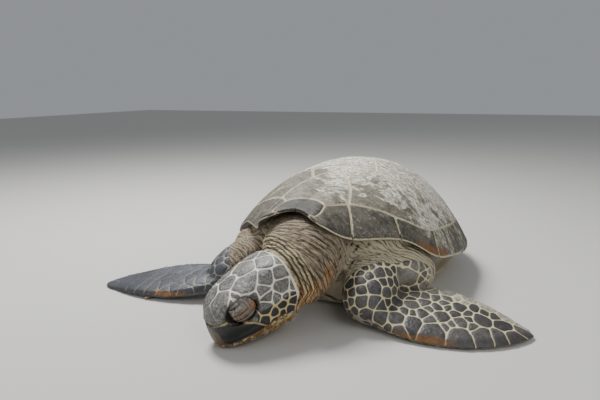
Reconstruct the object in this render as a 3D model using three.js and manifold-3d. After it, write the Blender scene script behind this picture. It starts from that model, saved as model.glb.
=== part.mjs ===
// A green sea turtle lying on a beach, life size: a shell of 38 separate scutes
// over a trunk and a plastron, a neck bent to the turtle's right, a lowered head
// with its beak on the ground, four flippers with their claws and a short tail.
// Millimetres, +Z up, the head end towards -Y, the turtle's left side towards +X.
// The ground is z = 0, and the origin is under the middle of the whole body.
import * as THREE from 'three';
import Module from 'manifold-3d';
import { ParametricGeometry } from 'three/addons/geometries/ParametricGeometry.js';
import { mergeVertices } from 'three/addons/utils/BufferGeometryUtils.js';

const wasm = await Module();
wasm.setup();

// ---------------------------------------------------------------- driving sizes
const SHELL_FRONT_Y = -390;        // middle of the nuchal's free edge
const SHELL_LENGTH = 790;          // straight length along the midline
const DOME_SHOULDER = 2.35;        // how far out the dome stays high
const DOME_FALL = 0.97;            // how steeply it then drops to the rim
const SCUTE_THICKNESS = 9;
const EDGE_SHARE = 0.45;           // of that thickness left at the free rim
const MARGINAL_DEPTH = 15;         // extra thickness in the middle of a marginal
const MARGINAL_SWELLS = [0.62, 0.82];  // how far out it thickens, from and to
const MARGINAL_THINS = [0.86, 1];      // and where it thins again
const NUCHAL_END = [0, 0.2];       // shares of the length where the extra thickness begins
const TAIL_END = [0.88, 1];        // and ends
const SEAM_GAP = 0.7;              // open line between neighbouring scutes
const JOINT_GAP = 0.4;             // air between parts that meet
const PLASTRON_THICKNESS = 26;
const PLASTRON_Y = [-262, 300];
const SHELL_STEPS = 11;            // facets across the shell
const SHELL_ROWS = 18;             // and along it
const SHELL_ROOM = 1.002;          // the hollow for the shell is wider by this
const SHELL_AIR = 1.5;             // and deeper by this
const BRIDGE_X = 215;              // the plastron turns up to the marginals from here
const BRIDGE_Y = [-165, 190];
const BRIDGE_TOP = 140;
const BELLY_SIDE = 415;            // safely past the body's sides
const UNDERGROUND = -1;            // cutting tools start this low
const HEAD_TURN = 27;              // degrees to the turtle's right
const HEAD_DROP = 17.2;            // degrees nose down
const HEAD_ROLL = 4.4;             // its left side up
const BEAK_TIP = [-67.6, -605.6, 4.8];
const MOUTH_GAP = 1.2;
const EYE_AT = [63, 53, 66];       // back from the beak tip, out, up
const EYE_RADII = [30, 17, 29];
const EYE_TURN = 12;               // degrees that it faces ahead
const JAW_NARROWING = 0.16;        // of the head's width, at its lowest
const HEAD_SPAN = 150;             // cutting tools reach this far to each side of the head
const CLAW_LENGTH = 22;
const CLAW_RADIUS = 5.5;
const CLAW_SINK = 2;
const TRUNK_SQUARENESS = 0.72;     // an oval's power: 1 is round, less is boxier
const LIMB_SQUARENESS = 0.9;
const HEAD_SQUARENESS = 0.62;
const TRUNK_CROWDING = 1 / 9;      // draws the trunk's sections towards its ends
const HEAD_CROWDING = 1.5;         // draws the head's sections towards the snout
const BENDS_ACROSS = 1.4;          // facets of a seam from the midline to the rim
const BENDS_ALONG = 3;             // and from the nuchal to the tail

// Half of the shell's rim in equal shares, from the nuchal round to the tail: x, y, z.
const RIM = [
  [0, -390, 259], [76, -411, 235], [124, -357, 197], [213, -266, 183],
  [278, -204, 136], [295, -84, 109], [297, 32, 92], [278, 144, 85],
  [232, 248, 81], [160, 332, 77], [76, 384, 68], [0, 400, 63],
];
// Height of the shell over its midline: share of its length, z.
const KEEL = [
  [0.00, 259], [0.08, 266], [0.20, 287], [0.35, 320], [0.50, 330],
  [0.65, 303], [0.80, 228], [0.92, 130], [1.00, 63],
];

// ---------------------------------------------------------------- scute corners
// Every corner is [side, share]: 0 on the midline to 1 on the rim, 0 at the front
// to 1 at the tail. The inner ends of the marginals, in order:
const INNER = {
  nuchal: [0.53, 0.132],
  m1: [0.61, 0.205],
  m2: [0.83, 0.285],
  m3: [0.875, 0.400],
  c1: [0.875, 0.437],
  m4: [0.875, 0.475],
  m5: [0.875, 0.540],
  c2: [0.875, 0.572],
  m6: [0.875, 0.605],
  m7: [0.870, 0.670],
  c3: [0.865, 0.702],
  m8: [0.860, 0.735],
  m9: [0.840, 0.800],
  m10: [0.800, 0.865],
  c4: [0.775, 0.888],
  m11: [0.700, 0.925],
  tail: [0, 0.955],
};
// Where the seam behind each marginal meets the rim.
const RIM_SEAMS = {
  nuchal: 0.044, m1: 0.185, m2: 0.270, m3: 0.372, m4: 0.450, m5: 0.520,
  m6: 0.590, m7: 0.660, m8: 0.730, m9: 0.800, m10: 0.870, m11: 0.935, tail: 1,
};
// Seams between vertebrals: on the midline, then at the corner shared with a costal.
const VERTEBRAL_SEAMS = [
  [[0, 0.094], INNER.nuchal],
  [[0, 0.318], [0.235, 0.262]],
  [[0, 0.475], [0.18, 0.465]],
  [[0, 0.638], [0.18, 0.630]],
  [[0, 0.802], [0.17, 0.797]],
  [INNER.tail, INNER.c4],
];
// Widest corner of vertebrals 1 to 5, where a costal seam starts.
const VERTEBRAL_WIDEST = [INNER.m1, [0.31, 0.385], [0.32, 0.550], [0.30, 0.712], [0.38, 0.880]];
const COSTAL_ENDS = ['m1', 'c1', 'c2', 'c3', 'c4'];
const OUTSIDE = 1.16;              // a side value safely past the rim

// ---------------------------------------------------------------- flesh stations
// Trunk sections from chest to tail: y, half width, middle z, down, up.
const TRUNK = [
  [-330, 80, 120, 70, 70],
  [-310, 150, 112, 100, 110],
  [-250, 212, 104, 104, 150],
  [-150, 256, 95, 97, 200],
  [0, 272, 84, 86, 230],
  [120, 262, 78, 80, 220],
  [220, 212, 74, 75, 150],
  [300, 140, 70, 70, 90],
  [352, 78, 60, 58, 40],
  [380, 40, 52, 34, 14],
];
// Limbs: x outwards, y, z, width, height, drop of the leading edge in degrees,
// and how much thinner the trailing edge is.
const NECK = [
  [0, -290, 168, 214, 150, 0, 0],
  [8, -345, 163, 210, 160, 0, 0],
  [19, -392, 150, 196, 164, 0, 0],
  [20, -428, 130, 184, 160, 0, 0],
  [13, -448, 115, 174, 150, 0, 0],
  [7, -464, 107, 142, 126, 0, 0],
  [0, -478, 101, 108, 98, 0, 0],
];
const SHOULDERS = {
  left: [
    [110, -175, 120, 170, 130, 0, 0],
    [172, -205, 104, 172, 136, 0, 0],
    [230, -222, 92, 150, 116, 0, 0],
    [261, -226, 91, 98, 78, 0, 0],
    [275, -228, 90, 44, 36, 0, 0],
  ],
  right: [
    [110, -180, 124, 170, 130, 0, 0],
    [165, -215, 110, 176, 138, 0, 0],
    [212, -240, 100, 150, 120, 0, 0],
    [240, -256, 92, 100, 84, 0, 0],
    [252, -262, 88, 44, 36, 0, 0],
  ],
};
const ARMS = {
  left: [
    [146, -215, 112, 140, 116, 0, 0],
    [152, -280, 102, 142, 116, 0, 0],
    [158, -330, 80, 132, 112, 0, 0],
    [169, -372, 60, 114, 100, 0, 0],
    [178, -398, 49, 88, 78, 0, 0],
    [183, -412, 44, 44, 40, 0, 0],
  ],
  right: [
    [150, -220, 114, 130, 110, 0, 0],
    [178, -275, 102, 128, 106, 0, 0],
    [204, -318, 82, 116, 98, 0, 0],
    [222, -354, 62, 100, 86, 0, 0],
    [232, -376, 52, 76, 66, 0, 0],
    [236, -388, 48, 38, 34, 0, 0],
  ],
};
const BLADES = {
  left: [
    [164, -340, 48, 104, 82, 8, 0.2],
    [198, -345, 41, 136, 70, 14, 0.45],
    [245, -338, 40, 164, 54, 19, 0.65],
    [305, -333, 38, 178, 38, 21, 0.75],
    [365, -325, 33, 170, 29, 20, 0.75],
    [425, -305, 25, 136, 22, 17, 0.7],
    [472, -284, 14, 80, 16, 12, 0.6],
    [498, -268, 6, 30, 10, 6, 0.5],
  ],
  right: [
    [210, -340, 56, 88, 70, 8, 0.2],
    [240, -358, 50, 110, 58, 14, 0.5],
    [290, -381, 44, 130, 44, 18, 0.7],
    [350, -396, 35, 144, 34, 18, 0.75],
    [420, -404, 26, 140, 27, 14, 0.75],
    [485, -412, 15, 112, 20, 9, 0.7],
    [530, -426, 8, 70, 14, 6, 0.6],
    [554, -436, 5, 28, 9, 3, 0.5],
  ],
};
const HIND_LEGS = [
  [92, 190, 78, 142, 110, 0, 0],
  [114, 250, 62, 130, 92, 0, 0.2],
  [126, 305, 44, 112, 64, 4, 0.4],
  [131, 355, 28, 122, 42, 6, 0.5],
  [135, 402, 15, 132, 26, 5, 0.6],
  [141, 440, 7, 108, 16, 2, 0.6],
  [145, 461, 4, 44, 9, 0, 0.4],
];
const TAIL = [
  [0, 330, 44, 96, 62, 0, 0],
  [0, 372, 34, 70, 48, 0, 0],
  [0, 412, 22, 42, 32, 0, 0],
  [0, 444, 9, 22, 19, 0, 0],
  [0, 462, 4, 9, 9, 0, 0],
];
// Claws stand on the leading edges: outwards, y, z, and their heading in degrees
// forward of straight out.
const CLAWS = {
  left: [272, -406, 6, 62],
  right: [388, -473, 7, 70],
  hind: [197, 400, 6, -40],
};
// Head sections, in its own frame: back from the beak tip, half width, top, bottom.
const HEAD = [
  [-3, 13, 50, 10],
  [0, 23, 63, 1],
  [4, 31, 72, -4],
  [11, 39, 82, -8],
  [26, 50, 94, -13],
  [47, 60, 104, -18],
  [73, 66, 113, -22],
  [101, 69, 120, -26],
  [129, 71, 126, -28],
  [155, 71, 128, -28],
  [178, 68, 125, -24],
  [194, 58, 116, -12],
];
// Lines across the side of the head: back, up.
const MOUTH_LINE = [[-30, 0], [30, 3], [85, 9], [126, 15], [134, 6], [136, -70]];
const BEAK_LINE = [[-30, 52], [6, 52], [38, 38], [88, 28], [98, 10.9]];
const CHIN = [-30, -70];

// ---------------------------------------------------------------- small helpers
const GROUND_SPAN = 900;
const SKY = 500;

// A smooth reading of a table: the first column is where, the rest is what.
function smooth(rows) {
  const curve = new THREE.CubicInterpolant(
    rows.map((row) => row[0]), rows.flatMap((row) => row.slice(1)), rows[0].length - 1);
  return (where) => Array.from(curve.evaluate(where));
}

// A closed geometry as a solid with its faces pointing out.
function solid(geometry) {
  const bare = new THREE.BufferGeometry();
  bare.setAttribute('position', geometry.getAttribute('position').clone());
  if (geometry.index) bare.setIndex(geometry.index.clone());
  const merged = mergeVertices(bare, 1e-3);
  const place = merged.getAttribute('position');
  const corners = [0, 1, 2].map(() => new THREE.Vector3());
  const triangles = [];
  let volume = 0;
  for (let i = 0; i < merged.index.count; i += 3) {
    const ids = [0, 1, 2].map((k) => merged.index.getX(i + k));
    if (new Set(ids).size < 3) continue;
    ids.forEach((id, k) => corners[k].fromBufferAttribute(place, id));
    volume += corners[0].dot(corners[1].clone().cross(corners[2]));
    triangles.push(ids);
  }
  const order = volume < 0 ? [0, 2, 1] : [0, 1, 2];
  const triVerts = new Uint32Array(triangles.flatMap((ids) => order.map((k) => ids[k])));
  const vertProperties = new Float32Array(place.array);
  return new wasm.Manifold(new wasm.Mesh({ numProp: 3, vertProperties, triVerts }));
}

// A closed skin: point(turn, row) gives each place, and the ends close on a point each.
function skinned(point, columns, rows) {
  const geometry = new ParametricGeometry((u, v, target) => {
    const column = Math.round(u * columns) % columns;
    const row = Math.round(v * rows);
    target.copy(point(column, row));
  }, columns, rows);
  return geometry;
}

function box(low, high) {
  const size = high.map((value, k) => value - low[k]);
  const geometry = new THREE.BoxGeometry(...size);
  geometry.translate(...low.map((value, k) => value + size[k] / 2));
  return solid(geometry);
}

// A prism over an outline in XY.
function prism(outline, low, high) {
  const shape = new THREE.Shape(outline.map(([x, y]) => new THREE.Vector2(x, y)));
  const geometry = new THREE.ExtrudeGeometry(shape, { depth: high - low, bevelEnabled: false });
  geometry.translate(0, 0, low);
  return geometry;
}

// Thin upright walls along a line in XY, used as saw cuts.
function walls(line, thickness, low, high) {
  return line.slice(1).map((end, k) => {
    const start = line[k];
    const run = Math.hypot(end[0] - start[0], end[1] - start[1]);
    const geometry = new THREE.BoxGeometry(run + thickness, thickness, high - low);
    geometry.rotateZ(Math.atan2(end[1] - start[1], end[0] - start[0]));
    geometry.translate((start[0] + end[0]) / 2, (start[1] + end[1]) / 2, (low + high) / 2);
    return geometry;
  });
}

const without = (part, others) => others.reduce((left, other) => left.subtract(other), part);
const joined = (parts) => parts.reduce((whole, part) => whole.add(part));
const aboveGround = box([-GROUND_SPAN, -GROUND_SPAN, 0], [GROUND_SPAN, GROUND_SPAN, SKY]);

// ---------------------------------------------------------------- shell
const rimCurve = new THREE.CatmullRomCurve3([
  ...RIM.map((place) => new THREE.Vector3(...place)),
  ...RIM.slice(1, -1).reverse().map(([x, y, z]) => new THREE.Vector3(-x, y, z)),
], true, 'catmullrom');
const keelHeight = smooth(KEEL);

// side runs from -1 on the right rim to 1 on the left rim.
function shellPoint(side, share, drop = 0) {
  const out = Math.abs(side);
  const rim = rimCurve.getPoint(share / 2);
  const keelZ = keelHeight(share)[0];
  const keelY = SHELL_FRONT_Y + SHELL_LENGTH * share;
  const height = (1 - Math.min(out, 1) ** DOME_SHOULDER) ** DOME_FALL;
  return new THREE.Vector3(
    side * rim.x,
    keelY + (rim.y - keelY) * out,
    rim.z + (keelZ - rim.z) * height - drop,
  );
}

// Marginals are deepest half way out, and thin again at the nuchal and the tail.
function scuteDepth(out, share) {
  const { smoothstep } = THREE.MathUtils;
  const wedge = smoothstep(out, ...MARGINAL_SWELLS) * (1 - smoothstep(out, ...MARGINAL_THINS));
  const ends = smoothstep(share, ...NUCHAL_END) * (1 - smoothstep(share, ...TAIL_END));
  const edge = 1 - (1 - EDGE_SHARE) * smoothstep(out, 0.93, 1);
  return SCUTE_THICKNESS * edge + MARGINAL_DEPTH * wedge * ends;
}

// The shell as one closed band: over the top from rim to rim, and back underneath.
// The room it needs is the same band, a little wider and deeper, open to the sky.
function shellBand(room = false) {
  const sideAt = (step) => Math.sin((0.5 - step / SHELL_STEPS) * Math.PI);
  return solid(skinned((column, row) => {
    const share = row / SHELL_ROWS;
    const under = column > SHELL_STEPS;
    const step = under ? column - SHELL_STEPS - 1 : column;
    const side = under ? -sideAt(step) : sideAt(step);
    const point = shellPoint(side, share, under ? scuteDepth(Math.abs(side), share) : 0);
    if (room) {
      point.multiply(new THREE.Vector3(SHELL_ROOM, SHELL_ROOM, 1));
      point.z = under ? point.z - SHELL_AIR : SKY;
    }
    return point;
  }, 2 * SHELL_STEPS + 2, SHELL_ROWS));
}

// Where a corner stands in plan. A side past 1 lies outside the rim.
function planPoint(side, share, hand = 1) {
  const place = side > 1 ? rimCurve.getPoint(share / 2) : shellPoint(side, share);
  const spread = Math.max(side, 1);
  return [hand * place.x * (side > 1 ? spread : 1), place.y * (side > 1 ? spread : 1)];
}

// A line in plan through corners, bent between them as the shell bends.
function planLine(corners, hand = 1) {
  const line = [planPoint(...corners[0], hand)];
  corners.slice(1).forEach(([side, share], k) => {
    const [fromSide, fromShare] = corners[k];
    const steps = side > 1 || fromSide > 1
      ? 1 : Math.ceil(Math.hypot((side - fromSide) * BENDS_ACROSS, (share - fromShare) * BENDS_ALONG));
    for (let i = 1; i <= steps; i += 1) {
      const part = i / steps;
      line.push(planPoint(
        fromSide + (side - fromSide) * part, fromShare + (share - fromShare) * part, hand));
    }
  });
  return line;
}

const innerNames = Object.keys(INNER);
const marginNames = Object.keys(RIM_SEAMS);
const innerRun = (from, to) => innerNames
  .slice(innerNames.indexOf(from), innerNames.indexOf(to) + 1)
  .map((name) => INNER[name]);

// Corners round each scute of one side, and along one side of those on the midline.
function scuteOutlines() {
  const paired = {};
  const middle = {};
  marginNames.slice(1).forEach((name, k) => {
    const before = marginNames[k];
    const [from, to] = [RIM_SEAMS[before], RIM_SEAMS[name]];
    const edge = [[1, to], [OUTSIDE, to], [OUTSIDE, (from + to) / 2], [OUTSIDE, from], [1, from]];
    paired[`marginal_${k + 1}`] = [...innerRun(before, name), ...edge, INNER[before]];
  });
  for (let k = 1; k <= 4; k += 1) {
    const outer = innerRun(COSTAL_ENDS[k - 1], COSTAL_ENDS[k]).reverse();
    const [front, rear] = [VERTEBRAL_WIDEST[k - 1], VERTEBRAL_WIDEST[k]];
    paired[`costal_${k}`] = [front, VERTEBRAL_SEAMS[k][1], rear, ...outer, front];
  }
  for (let k = 1; k <= 5; k += 1) {
    const [front, rear] = [VERTEBRAL_SEAMS[k - 1], VERTEBRAL_SEAMS[k]];
    const back = k === 5 ? innerRun('c4', 'tail') : [rear[1], rear[0]];
    middle[`vertebral_${k}`] = [front[0], front[1], VERTEBRAL_WIDEST[k - 1], ...back];
  }
  const edgeShare = RIM_SEAMS.nuchal;
  const nuchalEdge = [[1, edgeShare], [OUTSIDE, edgeShare], [OUTSIDE, 0]];
  middle.nuchal = [VERTEBRAL_SEAMS[0][0], INNER.nuchal, ...nuchalEdge];
  return { paired, middle };
}

function seamCorners() {
  const seams = [innerNames.map((name) => INNER[name])];
  marginNames.forEach((name) => {
    seams.push([INNER[name], [1, RIM_SEAMS[name]], [OUTSIDE, RIM_SEAMS[name]]]);
  });
  VERTEBRAL_SEAMS.slice(0, -1).forEach((seam) => seams.push(seam));
  for (let k = 1; k <= 4; k += 1) {
    const corner = VERTEBRAL_SEAMS[k][1];
    seams.push([VERTEBRAL_WIDEST[k - 1], corner], [corner, VERTEBRAL_WIDEST[k]]);
  }
  for (let k = 1; k <= 3; k += 1) seams.push([VERTEBRAL_WIDEST[k], INNER[COSTAL_ENDS[k]]]);
  seams.push([VERTEBRAL_WIDEST[4], INNER.c4]);
  return seams;
}

function shellScutes() {
  const saws = seamCorners().flatMap((seam) => [1, -1].flatMap(
    (hand) => walls(planLine(seam, hand), SEAM_GAP, 0, SKY).map(solid)));
  const plates = without(shellBand(), saws);
  const { paired, middle } = scuteOutlines();
  const scutes = {};
  Object.entries(middle).forEach(([name, corners]) => {
    const left = planLine(corners);
    const right = left.slice(1).reverse().map(([x, y]) => [-x, y]);
    const outline = name === 'nuchal' ? [...left, ...right] : [...left, ...right.slice(1)];
    scutes[name] = plates.intersect(solid(prism(outline, 0, SKY)));
  });
  Object.entries(paired).forEach(([name, corners]) => {
    [['left', 1], ['right', -1]].forEach(([side, hand]) => {
      const outline = planLine(corners, hand).slice(0, -1);
      const [kind, number] = name.split('_');
      scutes[`${kind}_${side}_${number}`] = plates.intersect(solid(prism(outline, 0, SKY)));
    });
  });
  return scutes;
}

// ---------------------------------------------------------------- flesh
// An oval with flattened sides: across and up from -1 to 1.
function oval(turn, squareness) {
  const bent = (value) => Math.sign(value) * Math.abs(value) ** squareness;
  return [bent(Math.cos(turn)), bent(Math.sin(turn))];
}

// How far a grown body's end cap moves: back at the first rings, on at the last.
const capShift = (row, rows, grow) => (row <= 1 ? -grow : 0) + (row >= rows - 1 ? grow : 0);

// The trunk: ovals across the body, one behind the other.
function trunkSolid(grow) {
  const [columns, rows] = [14, 11];
  const sectionAt = smooth(TRUNK);
  const [frontY, rearY] = [TRUNK[0][0], TRUNK.at(-1)[0]];
  return solid(skinned((column, row) => {
    const part = THREE.MathUtils.clamp((row - 1) / (rows - 2), 0, 1);
    const y = frontY + (rearY - frontY) * (part - TRUNK_CROWDING * Math.sin(2 * Math.PI * part));
    const [half, middle, down, up] = sectionAt(y);
    const capY = y + capShift(row, rows, grow);
    if (row === 0 || row === rows) return new THREE.Vector3(0, capY, middle);
    const [across, high] = oval((2 * Math.PI * column) / columns, TRUNK_SQUARENESS);
    const reach = high < 0 ? down : up;
    return new THREE.Vector3(across * (half + grow), capY, middle + high * (reach + grow));
  }, columns, rows));
}

// A limb: ovals carried along a smooth line through its stations, whose x runs
// outwards from the body. hand is 1 on the left and -1 on the right.
function limbSolid(stations, hand, grow = 0, columns = 10, rows = 8) {
  const at = smooth(stations.map((station, k) => [k, ...station]));
  const last = stations.length - 1;
  return solid(skinned((column, row) => {
    const where = last * THREE.MathUtils.clamp((row - 1) / (rows - 2), 0, 1);
    const [x, y, z, wide, high, drop, taper] = at(where);
    const [ahead, behind] = [at(Math.min(where + 0.1, last)), at(Math.max(where - 0.1, 0))];
    const along = new THREE.Vector3(...[0, 1, 2].map((k) => ahead[k] - behind[k])).normalize();
    const lead = new THREE.Vector3(along.y, -along.x, 0).normalize();
    lead.applyAxisAngle(along, THREE.MathUtils.degToRad(drop));
    const up = lead.clone().cross(along);
    const point = new THREE.Vector3(x, y, z);
    point.addScaledVector(along, capShift(row, rows, grow));
    if (row > 0 && row < rows) {
      const [across, rise] = oval((2 * Math.PI * column) / columns, LIMB_SQUARENESS);
      const thin = 1 - taper * (1 - across) / 2;
      point.addScaledVector(lead, across * (wide / 2 + grow));
      point.addScaledVector(up, rise * ((high / 2) * thin + grow));
    }
    point.x *= hand;
    return point;
  }, columns, rows));
}

const degrees = THREE.MathUtils.degToRad;

// The head's own frame: x back from the beak tip, y to its left, z up.
function headFrame() {
  const [turn, drop] = [degrees(HEAD_TURN), degrees(HEAD_DROP)];
  const back = new THREE.Vector3(
    Math.sin(turn) * Math.cos(drop), Math.cos(turn) * Math.cos(drop), Math.sin(drop));
  const left = new THREE.Vector3(Math.cos(turn), -Math.sin(turn), 0);
  left.applyAxisAngle(back, -degrees(HEAD_ROLL));
  const up = left.clone().cross(back);
  return new THREE.Matrix4().makeBasis(back, left, up).setPosition(...BEAK_TIP);
}

const headToBody = headFrame();
const inHead = (geometry) => solid(geometry.clone().applyMatrix4(headToBody));

function headSkin(grow) {
  const [columns, rows] = [16, 13];
  const sectionAt = smooth(HEAD);
  const [front, rear] = [HEAD[0][0], HEAD.at(-1)[0]];
  return skinned((column, row) => {
    const part = THREE.MathUtils.clamp((row - 1) / (rows - 2), 0, 1);
    const back = front + (rear - front) * part ** HEAD_CROWDING;
    const [half, top, bottom] = sectionAt(back);
    const middle = (top + bottom) / 2;
    const capBack = back + capShift(row, rows, grow);
    if (row === 0 || row === rows) return new THREE.Vector3(capBack, 0, middle);
    const [across, high] = oval((2 * Math.PI * column) / columns, HEAD_SQUARENESS);
    const jaw = 1 - JAW_NARROWING * Math.max(-high, 0);
    return new THREE.Vector3(
      capBack, across * (half * jaw + grow), middle + high * ((top - bottom) / 2 + grow));
  }, columns, rows);
}

// An upright slab over an outline in the head's back and up directions.
const headSlab = (outline) => inHead(
  prism(outline, -HEAD_SPAN, HEAD_SPAN).rotateX(Math.PI / 2));
const headWalls = (line, thickness) => walls(line, thickness, -HEAD_SPAN, HEAD_SPAN)
  .map((wall) => inHead(wall.rotateX(Math.PI / 2)));

function eyeBall(hand, grow) {
  const geometry = new THREE.SphereGeometry(1, 10, 8);
  geometry.scale(...EYE_RADII.map((radius) => radius + grow));
  geometry.rotateZ(-hand * degrees(EYE_TURN));
  geometry.translate(EYE_AT[0], hand * EYE_AT[1], EYE_AT[2]);
  return inHead(geometry);
}

function headParts() {
  const saws = [
    ...headWalls(MOUTH_LINE, MOUTH_GAP), ...headWalls(BEAK_LINE, JOINT_GAP),
    eyeBall(1, JOINT_GAP), eyeBall(-1, JOINT_GAP),
  ];
  const whole = without(inHead(headSkin(0)).intersect(aboveGround), saws);
  const jawOutline = [...MOUTH_LINE, CHIN];
  const mouthRoof = MOUTH_LINE.slice(0, 3);
  const beakOutline = [...BEAK_LINE, ...mouthRoof.reverse()];
  const jawRegion = headSlab(jawOutline);
  const beakRegion = headSlab(beakOutline);
  return {
    head: without(whole, [jawRegion, beakRegion]),
    upper_beak: whole.intersect(beakRegion),
    lower_jaw: whole.intersect(jawRegion),
    eye_left: eyeBall(1, 0),
    eye_right: eyeBall(-1, 0),
  };
}

function clawSolid([x, y, z, heading], hand, grow) {
  const geometry = new THREE.ConeGeometry(CLAW_RADIUS + grow, CLAW_LENGTH + 2 * grow, 10, 1);
  geometry.rotateZ(degrees(-90));
  geometry.rotateZ(degrees(-heading));
  geometry.translate(x, y, z - CLAW_SINK);
  geometry.scale(hand, 1, 1);
  return solid(geometry);
}

// Where the plastron is: a slab over the ground, and a bridge up each side.
function bellyRegion(grow) {
  const bridges = [1, -1].map((hand) => {
    const xs = [hand * (BRIDGE_X - grow), hand * BELLY_SIDE].sort((a, b) => a - b);
    return box(
      [xs[0], BRIDGE_Y[0] - grow, UNDERGROUND], [xs[1], BRIDGE_Y[1] + grow, BRIDGE_TOP]);
  });
  return joined([
    box(
      [-BELLY_SIDE, PLASTRON_Y[0] - grow, UNDERGROUND],
      [BELLY_SIDE, PLASTRON_Y[1] + grow, PLASTRON_THICKNESS + grow]),
    ...bridges,
  ]);
}

function fleshParts() {
  const parts = headParts();
  const headGrown = inHead(headSkin(JOINT_GAP));
  const sky = shellBand(true);
  const neckAt = (grow) => limbSolid(NECK, 1, grow, 12, 9);
  const hands = [['left', 1], ['right', -1]];
  const trunkAt = (grow) => joined([
    trunkSolid(grow),
    ...hands.map(([side, hand]) => limbSolid(SHOULDERS[side], hand, grow)),
  ]);
  parts.neck = without(neckAt(0), [headGrown, sky]).intersect(aboveGround);
  const neckGrown = neckAt(JOINT_GAP);
  const trunkGrown = trunkAt(JOINT_GAP);
  const body = without(trunkAt(0), [neckGrown, sky]).intersect(aboveGround);
  parts.plastron = body.intersect(bellyRegion(0));
  parts.trunk = body.subtract(bellyRegion(JOINT_GAP));
  const inner = [neckGrown, trunkGrown, sky, headGrown];
  hands.forEach(([side, hand]) => {
    const clawGrown = clawSolid(CLAWS[side], hand, JOINT_GAP);
    const hindClawGrown = clawSolid(CLAWS.hind, hand, JOINT_GAP);
    parts[`arm_${side}`] = without(limbSolid(ARMS[side], hand), inner).intersect(aboveGround);
    const armGrown = limbSolid(ARMS[side], hand, JOINT_GAP);
    parts[`flipper_${side}`] = without(
      limbSolid(BLADES[side], hand, 0, 10, 12), [...inner, armGrown, clawGrown],
    ).intersect(aboveGround);
    parts[`claw_${side}`] = clawSolid(CLAWS[side], hand, 0).intersect(aboveGround);
    parts[`hind_flipper_${side}`] = without(
      limbSolid(HIND_LEGS, hand, 0, 8, 8), [...inner, hindClawGrown],
    ).intersect(aboveGround);
    parts[`hind_claw_${side}`] = clawSolid(CLAWS.hind, hand, 0).intersect(aboveGround);
  });
  const legsGrown = hands.map(([, hand]) => limbSolid(HIND_LEGS, hand, JOINT_GAP, 8, 8));
  parts.tail = without(limbSolid(TAIL, 1), [...inner, ...legsGrown]).intersect(aboveGround);
  return parts;
}

// ---------------------------------------------------------------- finishes
const finish = (color, roughness) => new THREE.MeshStandardMaterial({ color, roughness, metalness: 0 });
const horn = finish(0x6f6c60, 0.62);
const paleHorn = finish(0xc9b98a, 0.6);
const skin = finish(0x83766a, 0.78);
const beakHorn = finish(0x7a5530, 0.5);
const clawHorn = finish(0x4b3b29, 0.5);

function finishFor(name) {
  if (/^(nuchal|vertebral|costal|marginal)/.test(name)) return horn;
  if (name === 'plastron') return paleHorn;
  if (name === 'upper_beak' || name === 'lower_jaw') return beakHorn;
  return name.includes('claw') ? clawHorn : skin;
}

// A solid back to a named mesh with flat facets.
function meshOf(name, part) {
  const { vertProperties, triVerts } = part.getMesh();
  const geometry = new THREE.BufferGeometry();
  geometry.setAttribute('position', new THREE.BufferAttribute(vertProperties, 3));
  geometry.setIndex(new THREE.BufferAttribute(triVerts, 1));
  const mesh = new THREE.Mesh(geometry, finishFor(name));
  mesh.name = name;
  return mesh;
}

const turtle = new THREE.Group();
Object.entries({ ...shellScutes(), ...fleshParts() }).forEach(([name, part]) => {
  turtle.add(meshOf(name, part));
});

// The origin goes under the middle of the whole body.
const bounds = new THREE.Box3().setFromObject(turtle);
const middle = bounds.getCenter(new THREE.Vector3());
turtle.position.set(-middle.x, -middle.y, -bounds.min.z);

export default turtle;
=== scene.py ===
import itertools
import math
import bpy
import bmesh
import numpy as np
from mathutils import Matrix, Vector


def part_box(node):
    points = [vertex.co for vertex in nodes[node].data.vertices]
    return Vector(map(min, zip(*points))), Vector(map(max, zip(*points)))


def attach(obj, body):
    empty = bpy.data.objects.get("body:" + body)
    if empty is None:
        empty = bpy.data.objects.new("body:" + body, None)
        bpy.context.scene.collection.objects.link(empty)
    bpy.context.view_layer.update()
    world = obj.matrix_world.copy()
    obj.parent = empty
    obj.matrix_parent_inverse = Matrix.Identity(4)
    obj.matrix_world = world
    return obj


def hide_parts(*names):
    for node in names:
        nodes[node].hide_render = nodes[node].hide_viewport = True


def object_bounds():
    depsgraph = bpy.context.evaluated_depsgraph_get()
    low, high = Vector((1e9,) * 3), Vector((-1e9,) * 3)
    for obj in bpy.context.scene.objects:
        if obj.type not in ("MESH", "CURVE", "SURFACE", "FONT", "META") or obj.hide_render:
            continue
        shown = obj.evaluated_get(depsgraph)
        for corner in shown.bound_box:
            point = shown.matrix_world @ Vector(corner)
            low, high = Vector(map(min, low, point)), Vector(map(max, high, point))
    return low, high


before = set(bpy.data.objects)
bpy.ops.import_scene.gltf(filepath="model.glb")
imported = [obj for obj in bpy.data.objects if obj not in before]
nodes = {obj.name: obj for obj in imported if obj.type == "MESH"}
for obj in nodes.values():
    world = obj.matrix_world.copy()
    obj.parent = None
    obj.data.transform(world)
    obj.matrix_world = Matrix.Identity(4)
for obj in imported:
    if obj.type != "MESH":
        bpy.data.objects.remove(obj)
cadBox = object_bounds()
mm = 0.001

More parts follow.
